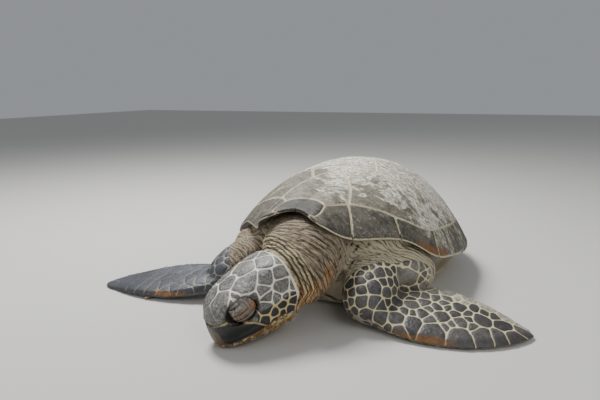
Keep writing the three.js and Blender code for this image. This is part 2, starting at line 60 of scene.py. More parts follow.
# the turtle's own axes, in millimetres: x to its left, -y ahead, from the ground under its shell
shell = {
    "frontY": -390, "length": 790,       # middle of the front edge, length along the midline
    "shoulder": 2.35, "fall": 0.97,      # how far out the dome stays high, how steeply it drops
    "rim": [(0, -390, 259), (76, -411, 235), (124, -357, 197), (213, -266, 183),
            (278, -204, 136), (295, -84, 109), (297, 32, 92), (278, 144, 85),
            (232, 248, 81), (160, 332, 77), (76, 384, 68), (0, 400, 63)],
    "keel": [(0.00, 259), (0.08, 266), (0.20, 287), (0.35, 320), (0.50, 330),
             (0.65, 303), (0.80, 228), (0.92, 130), (1.00, 63)],
    "sink": 3.0,                         # the horn lies this much under the ideal dome
    "seam": 1.3,                         # half of the open line between two scutes
    "bevel": 4.5, "bevelDrop": 2.3,      # rounded edge of a scute
    "bedDrop": 2.2,                      # pale bed that shows in the seams
    "thickness": 8, "marginalDepth": 15,
    "swells": (0.62, 0.82), "thins": (0.86, 1),          # where that depth begins and ends, outwards
    "nuchalEnd": (0, 0.2), "tailEnd": (0.88, 1),         # and along the shell
    "rimThinning": 0.3,
    "spacing": 4.2, "rings": (9, 30),    # of the mesh along a scute's edge, and its rings, least and most
    "lowerRings": (1.0, 0.8, 0.45),      # rings of its lower face, by share of the outline
}
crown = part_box("vertebral_3")
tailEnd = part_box("marginal_left_12")[1].y
turtleOrigin = np.array([(crown[0].x + crown[1].x) / 2,
                         tailEnd - (shell["frontY"] + shell["length"]) * mm, 0])


def placed(points):                      # millimetres on the turtle to metres in the frame
    return np.asarray(points, float) * mm + turtleOrigin


def onTurtle(points):
    return (np.asarray(points, float) - turtleOrigin) / mm


def ease(value, low, high):
    part = np.clip((value - low) / (high - low), 0, 1)
    return part * part * (3 - 2 * part)


def cloud(points, size, seed):           # soft random values from -1 to 1, in lumps of that size
    table = np.random.default_rng(seed).random((32, 32, 32)) * 2 - 1
    where = np.asarray(points, float) / size
    cell = np.floor(where).astype(int)
    part = where - cell
    part = part * part * (3 - 2 * part)
    total = np.zeros(len(where))
    for corner in itertools.product((0, 1), repeat=3):
        weight = np.prod(np.where(np.array(corner) == 1, part, 1 - part), axis=1)
        total += weight * table[tuple(((cell + corner) % 32).T)]
    return total


def between(table, where):               # smooth reading of a table whose first column is where
    table = np.asarray(table, float)
    xs, ys = table[:, 0], table[:, 1:]
    slopes = np.gradient(ys, xs, axis=0)
    where = np.clip(where, xs[0], xs[-1])
    left = np.clip(np.searchsorted(xs, where, side="right") - 1, 0, len(xs) - 2)
    run = (xs[left + 1] - xs[left])[:, None]
    s = ((where - xs[left]) / run[:, 0])[:, None]
    return ((2 * s**3 - 3 * s**2 + 1) * ys[left] + (s**3 - 2 * s**2 + s) * run * slopes[left]
            + (-2 * s**3 + 3 * s**2) * ys[left + 1] + (s**3 - s**2) * run * slopes[left + 1])


def inScene(name, data):                 # an object that shows this mesh, lamp or camera
    piece = bpy.data.objects.new(name, data)
    bpy.context.scene.collection.objects.link(piece)
    return piece


def meshPiece(name, points, faces, material=None, marks=None):
    mesh = bpy.data.meshes.new(name)
    points = np.asarray(points, np.float32)
    flat = np.concatenate([np.asarray(f, np.int32).ravel() for f in faces])
    sizes = np.concatenate([np.full(len(f), np.asarray(f).shape[1], np.int32) for f in faces])
    mesh.vertices.add(len(points))
    mesh.vertices.foreach_set("co", points.ravel())
    mesh.loops.add(len(flat))
    mesh.loops.foreach_set("vertex_index", flat)
    mesh.polygons.add(len(sizes))
    starts = np.concatenate([[0], np.cumsum(sizes)[:-1]]).astype(np.int32)
    mesh.polygons.foreach_set("loop_start", starts)
    mesh.update(calc_edges=True)
    mesh.validate()
    mesh.shade_smooth()
    for key, values in (marks or {}).items():            # numbers that the materials read
        values = np.asarray(values, np.float32)
        single = values.ndim == 1
        layer = mesh.attributes.new(key, "FLOAT" if single else "FLOAT_VECTOR", "POINT")
        layer.data.foreach_set("value" if single else "vector", values.ravel())
    if material:
        mesh.materials.append(material)
    return inScene(name, mesh)


def modified(piece, kind, **settings):   # the mesh that a modifier makes of a piece, which is used up
    modifier = piece.modifiers.new(kind, kind)
    for key, value in settings.items():
        setattr(modifier, key, value)
    mesh = bpy.data.meshes.new_from_object(piece.evaluated_get(bpy.context.evaluated_depsgraph_get()))
    bpy.data.objects.remove(piece)
    return mesh


def readQuads(mesh):
    points = np.empty(len(mesh.vertices) * 3, np.float32)
    mesh.vertices.foreach_get("co", points)
    corners = np.empty(len(mesh.loops), np.int32)
    mesh.loops.foreach_get("vertex_index", corners)
    bpy.data.meshes.remove(mesh)
    return points.reshape(-1, 3).astype(float), corners.reshape(-1, 4)


def vertexNormals(points, quads):
    a, b, c, d = (points[quads[:, corner]] for corner in range(4))
    across = np.cross(c - a, d - b)
    normals = np.zeros_like(points)
    for axis in range(3):
        for corner in range(4):
            normals[:, axis] += np.bincount(quads[:, corner], across[:, axis], len(points))
    return normals / np.maximum(np.linalg.norm(normals, axis=1), 1e-12)[:, None]


def edgesOf(quads):                      # each edge once for each face that has it
    return np.concatenate([quads[:, [k, (k + 1) % 4]] for k in range(4)])


def neighbourMean(values, edges):        # what the neighbours of each point hold, on average
    count = np.bincount(edges[:, 0], minlength=len(values))
    columns = values.reshape(len(values), -1).T
    sums = [np.bincount(edges[:, 0], column[edges[:, 1]], len(values)) for column in columns]
    return (np.stack(sums, 1) / count[:, None]).reshape(values.shape)


def biggest(quads, count):               # the points of the largest connected part
    label = np.arange(count)
    edges = edgesOf(quads)
    while True:
        low = np.minimum(label[edges[:, 0]], label[edges[:, 1]])
        lowest = label.copy()
        np.minimum.at(lowest, edges[:, 0], low)
        np.minimum.at(lowest, edges[:, 1], low)
        lowest = lowest[lowest]
        if (lowest == label).all():
            break
        label = lowest
    return label == np.bincount(label[quads[:, 0]]).argmax()


def keptBody(points, quads):             # only the big body, without crumbs left by the remesh
    kept = biggest(quads, len(points))
    index = np.cumsum(kept) - 1
    return points[kept], index[quads[kept[quads].all(1)]]


def band(first, second, count):          # quads between two closed rings that start at these points
    ring = np.arange(count)
    ahead = (ring + 1) % count
    return np.stack([first + ring, second + ring, second + ahead, first + ahead], 1)


def fan(first, centre, count):           # triangles from a closed ring to one point
    ring = np.arange(count)
    return np.stack([first + ring, first + (ring + 1) % count, np.full(count, centre)], 1)


def linear(code):                        # sRGB hex to the linear colour that Blender mixes
    parts = [int(code[k:k + 2], 16) / 255 for k in (0, 2, 4)]
    return tuple(c / 12.92 if c <= 0.04045 else ((c + 0.055) / 1.055) ** 2.4 for c in parts) + (1,)


def feed(tree, node, inputs):            # sets a node's inputs from nodes, sockets, hex colours or numbers
    for key, value in inputs.items():
        if isinstance(value, bpy.types.Node):            # it stands for its first output in use
            value = next(socket for socket in value.outputs if socket.enabled)
        if isinstance(value, bpy.types.NodeSocket):
            tree.links.new(value, node.inputs[key])
        else:
            node.inputs[key].default_value = linear(value) if isinstance(value, str) else value
    return node


def addNode(tree, kind, inputs=None, **settings):
    node = tree.nodes.new("ShaderNode" + kind)
    for key, value in settings.items():
        setattr(node, key, value)
    return feed(tree, node, inputs or {})


def newMaterial(name, inputs):
    material = bpy.data.materials.new(name)
    material.use_nodes = True
    shader = feed(material.node_tree, material.node_tree.nodes["Principled BSDF"], inputs)
    return material, material.node_tree, shader


def scuteHorn(name, colours, algae):     # keratin grown in layers, dulled by algae dried to straw and chalk
    material, tree, shader = newMaterial(name, {"IOR": 1.54})
    place = addNode(tree, "TexCoord").outputs["Object"]
    mark = {key: addNode(tree, "Attribute", attribute_name=key).outputs["Fac"]
            for key in ("edge", "bleach", "rust", "tone")}
    long = addNode(tree, "Mapping", {"Vector": place, "Rotation": (0, 0, 0.5), "Scale": (1, 2.2, 1.5)})
    slanted = addNode(tree, "Mapping", {"Vector": place, "Rotation": (0, 0, -0.5), "Scale": (1, 6, 3)})
    noise = {}
    for key, where, size, detail, rough, bend in (
            ("lumps", place, 40, 7, 0.7, 0.5),           # blotches in the horn, size in mm
            ("torn", long, 85, 10, 0.68, 0.7),           # patches of algae
            ("streak", long, 13, 7, 0.78, 1.1),          # where they are scraped
            ("scratch", slanted, 22, 6, 0.7, 1.6),       # 20 mm long, 2 to 3 wide
            ("grain", long, 4, 5, 0.5, 0)):
        noise[key] = addNode(tree, "TexNoise", {"Vector": where, "Scale": 1 / (size * mm), "Detail": detail,
                                                "Roughness": rough, "Distortion": bend}).outputs["Fac"]
    blotch = addNode(tree, "MapRange", {"Value": noise["lumps"], "From Min": 0.4, "From Max": 0.6})
    base = addNode(tree, "Mix", {0: blotch, 6: colours["dark"], 7: colours["mid"]}, data_type="RGBA")
    lifted = addNode(tree, "Math", {0: noise["torn"], 1: mark["bleach"]}, operation="ADD")
    patch = addNode(tree, "MapRange", {"Value": lifted, "From Min": algae["from"], "From Max": algae["to"]})
    scraped = addNode(tree, "MapRange", {"Value": noise["streak"], "From Min": 0.42, "From Max": 0.57,
                                         "To Min": 0.08})
    most = addNode(tree, "Math", {0: patch, 1: scraped}, operation="MULTIPLY")
    for source, low, high, much in (("streak", 0.60, 0.70, algae["specks"]),
                                    ("scratch", 0.55, 0.64, algae["scratches"])):
        marked = addNode(tree, "MapRange", {"Value": noise[source], "From Min": low, "From Max": high,
                                            "To Max": much})
        most = addNode(tree, "Math", {0: most, 1: marked}, operation="MAXIMUM")
    straw = addNode(tree, "Mix", {0: scraped, 6: colours["straw"], 7: colours["chalk"]}, data_type="RGBA")
    grown = addNode(tree, "Mix", {0: most, 6: base, 7: straw}, data_type="RGBA")
    toned = addNode(tree, "HueSaturation", {"Color": grown, "Value": mark["tone"]})
    rustEdge = addNode(tree, "Math", {0: noise["streak"], 1: mark["rust"]}, operation="ADD")
    rusted = addNode(tree, "MapRange", {"Value": rustEdge, "From Min": 0.86, "From Max": 1.1})
    rusty = addNode(tree, "Mix", {0: rusted, 6: toned, 7: colours["rust"]}, data_type="RGBA")
    # the newest horn along a seam is pale
    wide = addNode(tree, "MapRange", {"Value": noise["streak"], "From Min": 0.3, "From Max": 0.7,
                                      "To Min": 0.8, "To Max": algae["seamWidth"]})
    near = addNode(tree, "Math", {0: mark["edge"], 1: wide}, operation="DIVIDE")
    pale = addNode(tree, "MapRange", {"Value": near, "From Min": 1.0, "From Max": 0.45, "To Max": 0.9})
    final = addNode(tree, "Mix", {0: pale, 6: rusty, 7: colours["seam"]}, data_type="RGBA")
    dull = addNode(tree, "MapRange", {"Value": most, "To Min": 0.6, "To Max": 0.85})
    relief = addNode(tree, "Math", {0: most, 1: 1.5, 2: noise["grain"]}, operation="MULTIPLY_ADD")
    bump = addNode(tree, "Bump", {"Height": relief, "Strength": 0.4, "Distance": 0.8 * mm})
    feed(tree, shader, {"Base Color": final, "Roughness": dull, "Normal": bump})
    return material


def limbCreases(tree, key):              # coarse, fine and crossed creases round the limb of this lay
    lay = addNode(tree, "Attribute", attribute_name=key).outputs["Vector"]
    run = addNode(tree, "SeparateXYZ", {"Vector": lay}).outputs["X"]
    sets = []
    for pitch, reach, width in ((9.0, 90, 0.13), (4.3, 60, 0.17)):       # mm apart, mm long, dark share
        slow = addNode(tree, "Mapping", {"Vector": lay, "Scale": (0.4 / pitch, 1 / reach, 1 / reach)})
        wander = addNode(tree, "TexNoise", {"Vector": slow, "Scale": 1.0, "Detail": 4})
        turns = addNode(tree, "Math", {0: run, 1: 1 / pitch}, operation="MULTIPLY")
        phase = addNode(tree, "Math", {0: wander, 1: 3.4, 2: turns}, operation="MULTIPLY_ADD")
        apart = addNode(tree, "Math", {0: phase, 1: 0.5}, operation="PINGPONG")
        line = addNode(tree, "MapRange", {"Value": apart, "From Max": width})
        short = addNode(tree, "Mapping", {"Vector": lay, "Scale": (1 / pitch, 1.8 / reach, 1.8 / reach)})
        where = addNode(tree, "TexNoise", {"Vector": short, "Scale": 1.0, "Detail": 2})
        gone = addNode(tree, "MapRange", {"Value": where, "From Min": 0.58, "From Max": 0.46})
        sets.append(addNode(tree, "Math", {0: line, 1: gone}, operation="MAXIMUM"))
    close = addNode(tree, "Mapping", {"Vector": lay, "Scale": (1 / 2.6, 1 / 15, 1 / 15)})
    hatch = addNode(tree, "TexNoise", {"Vector": close, "Scale": 1.0, "Detail": 3, "Distortion": 0.5})
    sets.append(addNode(tree, "MapRange", {"Value": hatch, "From Min": 0.3, "From Max": 0.52, "To Min": 0.45}))
    return sets


def foldedSkin(name, colours):           # dry reptile skin, creased like bark, pale dust on its ridges, with painted highlights on the fold tops and painted shade in its creases and recesses
    material, tree, shader = newMaterial(name, {"Roughness": 0.72, "IOR": 1.45})
    place = addNode(tree, "TexCoord").outputs["Object"]
    mark = {key: addNode(tree, "Attribute", attribute_name=key).outputs["Fac"]
            for key in ("fold", "warm", "pale", "recessShade", "speck", "sand", "armShare")}
    creases = []
    for onNeck, onArm in zip(limbCreases(tree, "neckLay"), limbCreases(tree, "armLay")):
        creases.append(addNode(tree, "Mix", {0: mark["armShare"], 2: onNeck, 3: onArm}))
    ringed = addNode(tree, "Math", {0: creases[0], 1: creases[1]}, operation="MULTIPLY")
    both = addNode(tree, "Math", {0: ringed, 1: creases[2]}, operation="MULTIPLY")
    lumps = addNode(tree, "TexNoise", {"Vector": place, "Scale": 1 / (30 * mm), "Detail": 7, "Roughness": 0.65})
    blotch = addNode(tree, "MapRange", {"Value": lumps, "From Min": 0.35, "From Max": 0.65})
    earth = addNode(tree, "Mix", {0: blotch, 6: colours["brown"], 7: colours["grey"]}, data_type="RGBA")
    torn = addNode(tree, "TexNoise", {"Vector": place, "Scale": 1 / (12 * mm), "Detail": 7, "Roughness": 0.72})
    ochre = addNode(tree, "Mix", {0: torn, 6: colours["ochre"], 7: colours["orange"]}, data_type="RGBA")
    warmEdge = addNode(tree, "Math", {0: torn, 1: 0.5}, operation="SUBTRACT")
    warmShift = addNode(tree, "Math", {0: warmEdge, 1: 2.2, 2: mark["warm"]}, operation="MULTIPLY_ADD")
    warm = addNode(tree, "MapRange", {"Value": warmShift, "From Min": 0.2, "From Max": 0.9})
    height = addNode(tree, "Math", {0: mark["fold"], 1: both}, operation="MULTIPLY")
    # pale dust and a painted highlight: the fold tops are lightened where they stand highest
    dustAndHighlight = addNode(tree, "Math", {0: torn, 1: height}, operation="MULTIPLY")
    ridge = addNode(tree, "MapRange", {"Value": dustAndHighlight, "From Min": 0.22, "From Max": 0.56, "To Max": 0.8})
    pale = addNode(tree, "Math", {0: mark["pale"], 1: height}, operation="MULTIPLY")
    # painted shade: the creases are darkened where the folds sink lowest
    creaseShade = addNode(tree, "MapRange", {"Value": height, "From Min": 0.40, "From Max": 0.04, "To Max": 0.9})
    spots = addNode(tree, "TexVoronoi", {"Vector": place, "Scale": 1 / (16 * mm), "Randomness": 1.0})
    dot = addNode(tree, "MapRange", {"Value": spots, "From Min": 0.30, "From Max": 0.18})
    often = addNode(tree, "Math", {0: mark["speck"], 1: 1.5}, operation="MULTIPLY", use_clamp=True)
    dots = addNode(tree, "Math", {0: dot, 1: often}, operation="MULTIPLY")
    colour = earth                       # laid over it in this order, each by its own share
    for share, over in ((mark["sand"], colours["sand"]), (warm, ochre), (ridge, colours["ridge"]),
                        (pale, colours["cream"]), (creaseShade, colours["crease"]),
                        (mark["recessShade"], colours["recessShade"]), (dots, colours["recessShade"])):
        colour = addNode(tree, "Mix", {0: share, 6: colour, 7: over}, data_type="RGBA")
    cracks = addNode(tree, "TexVoronoi", {"Vector": place, "Scale": 1 / (5 * mm)}, feature="DISTANCE_TO_EDGE")
    crackHeight = addNode(tree, "MapRange", {"Value": cracks, "From Max": 0.25, "To Max": 0.4})
    relief = addNode(tree, "Math", {0: both, 1: 1.6, 2: crackHeight}, operation="MULTIPLY_ADD")
    bump = addNode(tree, "Bump", {"Height": relief, "Strength": 0.75, "Distance": 1.4 * mm})
    feed(tree, shader, {"Base Color": colour, "Normal": bump})
    return material


def scaleHorn(name, look, colours):      # thin horny plates, scuffed and salty
    material, tree, shader = newMaterial(name, {"Roughness": look["roughness"], "IOR": 1.54})
    place = addNode(tree, "TexCoord").outputs["Object"]
    mark = {key: addNode(tree, "Attribute", attribute_name=key).outputs["Fac"]
            for key in ("shade", "warm", "black", "seam", "pale")}
    lumps = addNode(tree, "TexNoise", {"Vector": place, "Scale": 1 / (look["blotches"] * mm), "Detail": 7,
                                       "Roughness": 0.68, "Distortion": 0.4})
    blotch = addNode(tree, "MapRange", {"Value": lumps, "From Min": 0.35, "From Max": 0.68})
    base = addNode(tree, "Mix", {0: blotch, 6: colours["dark"], 7: colours["light"]}, data_type="RGBA")
    flecks = addNode(tree, "TexNoise", {"Vector": place, "Scale": 1 / (4.5 * mm), "Detail": 6, "Roughness": 0.8,
                                        "Distortion": 0.8})         # scuffs and salt, 2 to 5 mm long
    worn = look["worn"]
    for low, high, much, over in ((0.53, 0.63, worn, "washed"), (0.47, 0.36, 0.85 * worn, "black")):
        fleck = addNode(tree, "MapRange", {"Value": flecks, "From Min": low, "From Max": high, "To Max": much})
        base = addNode(tree, "Mix", {0: fleck, 6: base, 7: colours[over]}, data_type="RGBA")
    colour = addNode(tree, "HueSaturation", {"Color": base, "Value": mark["shade"]})
    burnt = addNode(tree, "Mix", {0: lumps, 6: colours["orange"], 7: colours["ochre"]}, data_type="RGBA")
    torn = addNode(tree, "Math", {0: lumps, 1: 0.5}, operation="SUBTRACT")
    warmShift = addNode(tree, "Math", {0: torn, 1: 1.2, 2: mark["warm"]}, operation="MULTIPLY_ADD")
    warm = addNode(tree, "MapRange", {"Value": warmShift, "From Min": 0.3, "From Max": 0.8})
    seam = addNode(tree, "Mix", {0: mark["warm"], 6: colours["seam"], 7: colours["warmSeam"]}, data_type="RGBA")
    for share, over in ((mark["pale"], colours["washed"]), (mark["black"], colours["black"]), (warm, burnt),
                        (mark["seam"], seam)):
        colour = addNode(tree, "Mix", {0: share, 6: colour, 7: over}, data_type="RGBA")
    grain = addNode(tree, "TexNoise", {"Vector": place, "Scale": 1 / (3.5 * mm), "Detail": 5, "Roughness": 0.7})
    bump = addNode(tree, "Bump", {"Height": grain, "Strength": 0.4, "Distance": 0.8 * mm})
    feed(tree, shader, {"Base Color": colour, "Normal": bump})
    return material


def rimPoint(share):
    rim = np.asarray(shell["rim"], float)
    before, after = rim[1] * (-1, 1, 1), rim[-2] * (-1, 1, 1)
    ring = np.vstack([before, rim, after])
    count = len(rim) - 1
    run = np.clip(share * count, 0, count - 1e-9)
    k = run.astype(int)
    s = (run - k)[:, None]
    a, b, c, d = ring[k], ring[k + 1], ring[k + 2], ring[k + 3]
    return 0.5 * (2 * b + (c - a) * s + (2 * a - 5 * b + 4 * c - d) * s**2 + (3 * b - a - 3 * c + d) * s**3)


def shellPoint(side, share, drop=0.0):   # side -1 right rim .. 1 left rim, share 0 front .. 1 tail
    side, share = np.atleast_1d(side).astype(float), np.atleast_1d(share).astype(float)
    rim = rimPoint(share)
    out = np.minimum(np.abs(side), 1)
    keelZ = between(shell["keel"], share)[:, 0]
    keelY = shell["frontY"] + shell["length"] * share
    height = (1 - out ** shell["shoulder"]) ** shell["fall"]
    x, y = side * rim[:, 0], keelY + (rim[:, 1] - keelY) * out
    z = rim[:, 2] + (keelZ - rim[:, 2]) * height - drop - shell["sink"]
    return placed(np.stack([x, y, z], 1))


def shellNormal(side, share):
    step = 0.004
    before, after = np.maximum(share - step, 0), np.minimum(share + step, 1)
    acrossShell = shellPoint(side + step, share) - shellPoint(side - step, share)
    alongShell = shellPoint(side, after) - shellPoint(side, before)
    normal = np.cross(acrossShell, alongShell)
    normal /= np.maximum(np.linalg.norm(normal, axis=1), 1e-12)[:, None]
    return normal * np.where(normal[:, 2:] < 0, -1, 1)


def scuteDepth(out, share):
    wedge = ease(out, *shell["swells"]) * (1 - ease(out, *shell["thins"]))
    ends = ease(share, *shell["nuchalEnd"]) * (1 - ease(share, *shell["tailEnd"]))
    edge = 1 - shell["rimThinning"] * ease(out, 0.93, 1)
    return shell["thickness"] * edge + shell["marginalDepth"] * wedge * ends


# corners [side, share] of the scutes: the inner ends of the marginals, in order
inner = {"nuchal": (0.53, 0.132), "m1": (0.61, 0.205), "m2": (0.83, 0.285), "m3": (0.875, 0.400),
         "c1": (0.875, 0.437), "m4": (0.875, 0.475), "m5": (0.875, 0.540), "c2": (0.875, 0.572),
         "m6": (0.875, 0.605), "m7": (0.870, 0.670), "c3": (0.865, 0.702), "m8": (0.860, 0.735),
         "m9": (0.840, 0.800), "m10": (0.800, 0.865), "c4": (0.775, 0.888), "m11": (0.700, 0.925),
         "tail": (0, 0.955)}
rimSeams = {"nuchal": 0.044, "m1": 0.185, "m2": 0.270, "m3": 0.372, "m4": 0.450, "m5": 0.520,
            "m6": 0.590, "m7": 0.660, "m8": 0.730, "m9": 0.800, "m10": 0.870, "m11": 0.935, "tail": 0.996}
vertebralSeams = [((0, 0.094), inner["nuchal"]), ((0, 0.318), (0.235, 0.262)), ((0, 0.475), (0.18, 0.465)),
                  ((0, 0.638), (0.18, 0.630)), ((0, 0.802), (0.17, 0.797)), (inner["tail"], inner["c4"])]
vertebralWidest = [inner["m1"], (0.31, 0.385), (0.32, 0.550), (0.30, 0.712), (0.38, 0.880)]
costalEnds = ["m1", "c1", "c2", "c3", "c4"]
innerNames = list(inner)


def innerRun(start, end):
    return [inner[n] for n in innerNames[innerNames.index(start):innerNames.index(end) + 1]]


def scuteCorners():                      # every scute's closed outline, by the name of its node
    outlines = {}
    margins = list(rimSeams)
    for k, (before, name) in enumerate(zip(margins, margins[1:]), 1):
        edge = [(1, rimSeams[name]), (1, rimSeams[before])]
        if name == "tail":
            edge = [(0, rimSeams[name]), (1, rimSeams[name]), edge[1]]
        outlines[f"marginal_left_{k}"] = innerRun(before, name) + edge
    for k in range(1, 5):
        outer = innerRun(costalEnds[k - 1], costalEnds[k])[::-1]
        top = [vertebralSeams[k][1], vertebralWidest[k]]
        outlines[f"costal_left_{k}"] = top + outer + [vertebralWidest[k - 1]] * (k > 1)
    for name, corners in list(outlines.items()):
        outlines[name.replace("left", "right")] = [(-u, t) for u, t in corners]
    for k in range(1, 6):
        front, rear, widest = vertebralSeams[k - 1], vertebralSeams[k], vertebralWidest[k - 1]
        back = innerRun("c4", "tail") if k == 5 else [rear[1], rear[0]]
        half = [front[0], front[1]] + [widest] * (widest != front[1]) + back
        outlines[f"vertebral_{k}"] = half + [(-u, t) for u, t in half[::-1] if u > 0]
    half = [vertebralSeams[0][0], inner["nuchal"], (1, rimSeams["nuchal"]), (1, 0.003)]
    outlines["nuchal"] = half + [(-u, t) for u, t in half[::-1] if u > 0 and t > 0]
    return outlines


def resampled(corners):                  # the outline in even steps, measured on the dome
    line = []
    for a, b in zip(corners, corners[1:] + corners[:1]):
        a, b = np.array(a, float), np.array(b, float)
        probe = a + (b - a) * np.linspace(0, 1, 9)[:, None]
        length = np.linalg.norm(np.diff(shellPoint(*probe.T), axis=0), axis=1).sum()
        straightAcross = round(8 * abs(a[0] - b[0])) * (a[1] == b[1])
        count = max(2, round(length / (shell["spacing"] * mm)), straightAcross)
        line.append(a + (b - a) * (np.arange(count) / count)[:, None])
    return np.concatenate(line)


wear = {                                 # shares: side -1 right to 1 left, along 0 front to 1 tail
    "bare": -0.15, "nuchal": -0.05,      # how little algae there is before the rest is added
    "top": (0.10, 0.55, 0.9),            # more on top, less from here to there at the sides
    "rear": (0.17, 0.22, 0.42),          # more behind the front
    "patch": (0.12, 0.18, 0.26, 0.30, 0.12),             # how much, side, its reach, along, its reach
    "rightFront": 0.08, "rump": 0.015, "brow": 0.04,     # less there
    "rust": 0.54,                        # on the rim beside the shoulder
    # the nuchal is painted darker as a whole, as painted shade
    "tones": (0.92, 0.16), "nuchalShadeTone": 0.55,
    "growth": 0.22, "growthPitch": 1.35, "growthFades": 45,      # ridges of growth along the seams, mm
}


def scuteRelief(surface, edge, seed):    # height in mm over the ideal dome, by the distance from the seam
    wander = 1.5 * cloud(surface, 0.05, seed)
    growth = wear["growth"] * np.sin(edge / wear["growthPitch"] + wander) * np.exp(-edge / wear["growthFades"])
    lumps = 0.55 * cloud(surface, 0.035, 3) + 0.25 * cloud(surface, 0.012, 5)
    return growth + lumps - shell["bevelDrop"] * (1 - ease(edge, -0.5, shell["bevel"])) ** 1.5


def scuteWear(name, side, along):        # how far algae covers the horn, and rust stains it
    out = np.abs(side)
    much, low, high = wear["top"]
    bleach = wear["bare"] + wear["nuchal"] * (name == "nuchal") + much * (1 - ease(out, low, high))
    much, low, high = wear["rear"]
    bleach += much * ease(along, low, high)
    much, left, leftReach, back, backReach = wear["patch"]
    bleach += much * np.exp(-((side - left) / leftReach) ** 2 - ((along - back) / backReach) ** 2)
    bleach -= wear["rightFront"] * ease(-side, -0.05, 0.25) * (1 - ease(along, 0.3, 0.45))
    bleach -= wear["rump"] * ease(along, 0.6, 0.8) + wear["brow"] * (1 - ease(along, 0.12, 0.24))
    rust = wear["rust"] * ease(out, 0.90, 0.985) * ease(along, 0.27, 0.33) * (1 - ease(along, 0.40, 0.45))
    return bleach, rust


def scutePiece(name, corners, material):
    outline = resampled(corners)
    middle, count = outline.mean(0), len(outline)
    reach = np.linalg.norm(shellPoint(*outline.T) - shellPoint(*middle[:, None]), axis=1)
    steps = int(np.clip(reach.max() / (shell["spacing"] * mm), *shell["rings"]))
    inside = 1 - shell["seam"] * mm / reach              # half of the seam stays open
    shares = 1 - (np.arange(steps) / steps) ** 1.2       # the rings crowd towards the seam
    rings = [middle + (outline - middle) * (share * inside)[:, None] for share in shares]
    edges = [(1 - share * inside) * reach / mm - shell["seam"] for share in shares]
    where = np.concatenate(rings + [middle[None]])
    edge = np.concatenate(edges + [[reach.min() / mm]])
    seed = sum(map(ord, name))
    surface = shellPoint(*where.T)
    top = surface + shellNormal(*where.T) * (scuteRelief(surface, edge, seed) * mm)[:, None]
    lowerRings = [middle + (outline - middle) * (share * inside)[:, None] for share in shell["lowerRings"]]
    low = np.concatenate(lowerRings + [middle[None]])
    under = shellPoint(*low.T, scuteDepth(np.minimum(np.abs(low[:, 0]), 1), low[:, 1]))
    points = np.concatenate([top, under])
    base = len(top)
    quads = [band(k * count, (k + 1) * count, count)[:, [0, 3, 2, 1]] for k in range(steps - 1)]
    quads.append(band(0, base, count))
    quads += [band(base + k * count, base + (k + 1) * count, count) for k in range(len(lowerRings) - 1)]
    tris = [fan((steps - 1) * count, base - 1, count),
            fan(len(points) - 1 - count, len(points) - 1, count)[:, ::-1]]
    quads, tris = np.concatenate(quads), np.concatenate(tris)
    a, b, c = points[tris[0]]
    if np.cross(b - a, c - a)[2] < 0:
        quads, tris = quads[:, ::-1], tris[:, ::-1]
    free = (np.abs(outline[:, 0]) > 0.9999) | (outline[:, 1] < 0.01) | (outline[:, 1] > 0.99)
    seamLine = shellPoint(*outline[~free].T)
    fromSeam = np.array([np.linalg.norm(seamLine - point, axis=1).min() for point in points]) / mm
    fromSeam = np.maximum(fromSeam - shell["seam"], 0)
    fromSeam[base:base + count][free] = 0                # a pale lip along the rim's lower edge
    onSide = free & (outline[:, 1] > 0.07) & (outline[:, 1] < 0.5)
    fromSeam[:count][onSide] = 1.5
    side, along = np.concatenate([where, np.tile(middle, (len(under), 1))]).T
    bleach, rust = scuteWear(name, side, along)
    least, more = wear["tones"]
    tone = least + more * np.random.default_rng(seed).random()
    # painted shade: the nuchal's tone is lowered
    tone *= wear["nuchalShadeTone"] if name == "nuchal" else 1
    marks = {"edge": fromSeam, "bleach": bleach, "rust": rust, "tone": np.full(len(points), tone)}
    piece = meshPiece(name + "Scute", points, [quads, tris], material, marks)
    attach(piece, "root")
    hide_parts(name)


bed = {"across": 64, "along": 84, "side": 0.965, "front": 0.03, "rear": 0.972, "thickness": 2.0}


def shellBed(material):                  # the pale bed that shows between the scutes
    across, along = bed["across"], bed["along"]
    side = bed["side"] * np.sin(np.linspace(-0.5, 0.5, across + 1) * np.pi)
    share = np.linspace(bed["front"], bed["rear"], along + 1)
    side, share = [g.ravel() for g in np.meshgrid(side, share)]
    top = shellPoint(side, share) - shellNormal(side, share) * shell["bedDrop"] * mm
    below = top - shellNormal(side, share) * bed["thickness"] * mm
    row = across + 1
    k = (np.arange(along)[:, None] * row + np.arange(across)[None]).ravel()
    quads = np.stack([k, k + 1, k + row + 1, k + row], 1)
    floorQuads = quads[:, ::-1] + len(top)
    ring = np.concatenate([np.arange(across + 1), np.arange(1, along + 1) * row + across,
                           along * row + np.arange(across)[::-1], np.arange(1, along)[::-1] * row])
    ahead = np.roll(ring, -1)
    sides = np.stack([ahead, ring, ring + len(top), ahead + len(top)], 1)
    piece = meshPiece("shellBed", np.concatenate([top, below]), [quads, floorQuads, sides], material)
    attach(piece, "root")


def makeShell():
    dome = scuteHorn("scute horn with dried algae", {
        "dark": "4d4636", "mid": "7b7463", "straw": "c6bb98", "chalk": "f7f4e8", "rust": "7d4a12",
        "seam": "dfd9c2"}, {"from": 0.475, "to": 0.54, "specks": 0.85, "scratches": 0.5, "seamWidth": 6.0})
    rim = scuteHorn("rim horn, smoother and darker", {
        "dark": "332e27", "mid": "5e584b", "straw": "978e74", "chalk": "cbc6b6", "rust": "7d4a12",
        "seam": "d8cfae"}, {"from": 0.47, "to": 0.60, "specks": 0.85, "scratches": 0.6, "seamWidth": 3.2})
    for name, corners in scuteCorners().items():
        scutePiece(name, corners, rim if name[0] in "nm" else dome)
    # young horn, still soft and pale
    shellBed(newMaterial("pale horn in the seams", {"Base Color": "b8ab88", "Roughness": 0.7})[0])
    print("shell: scutes and bed done")


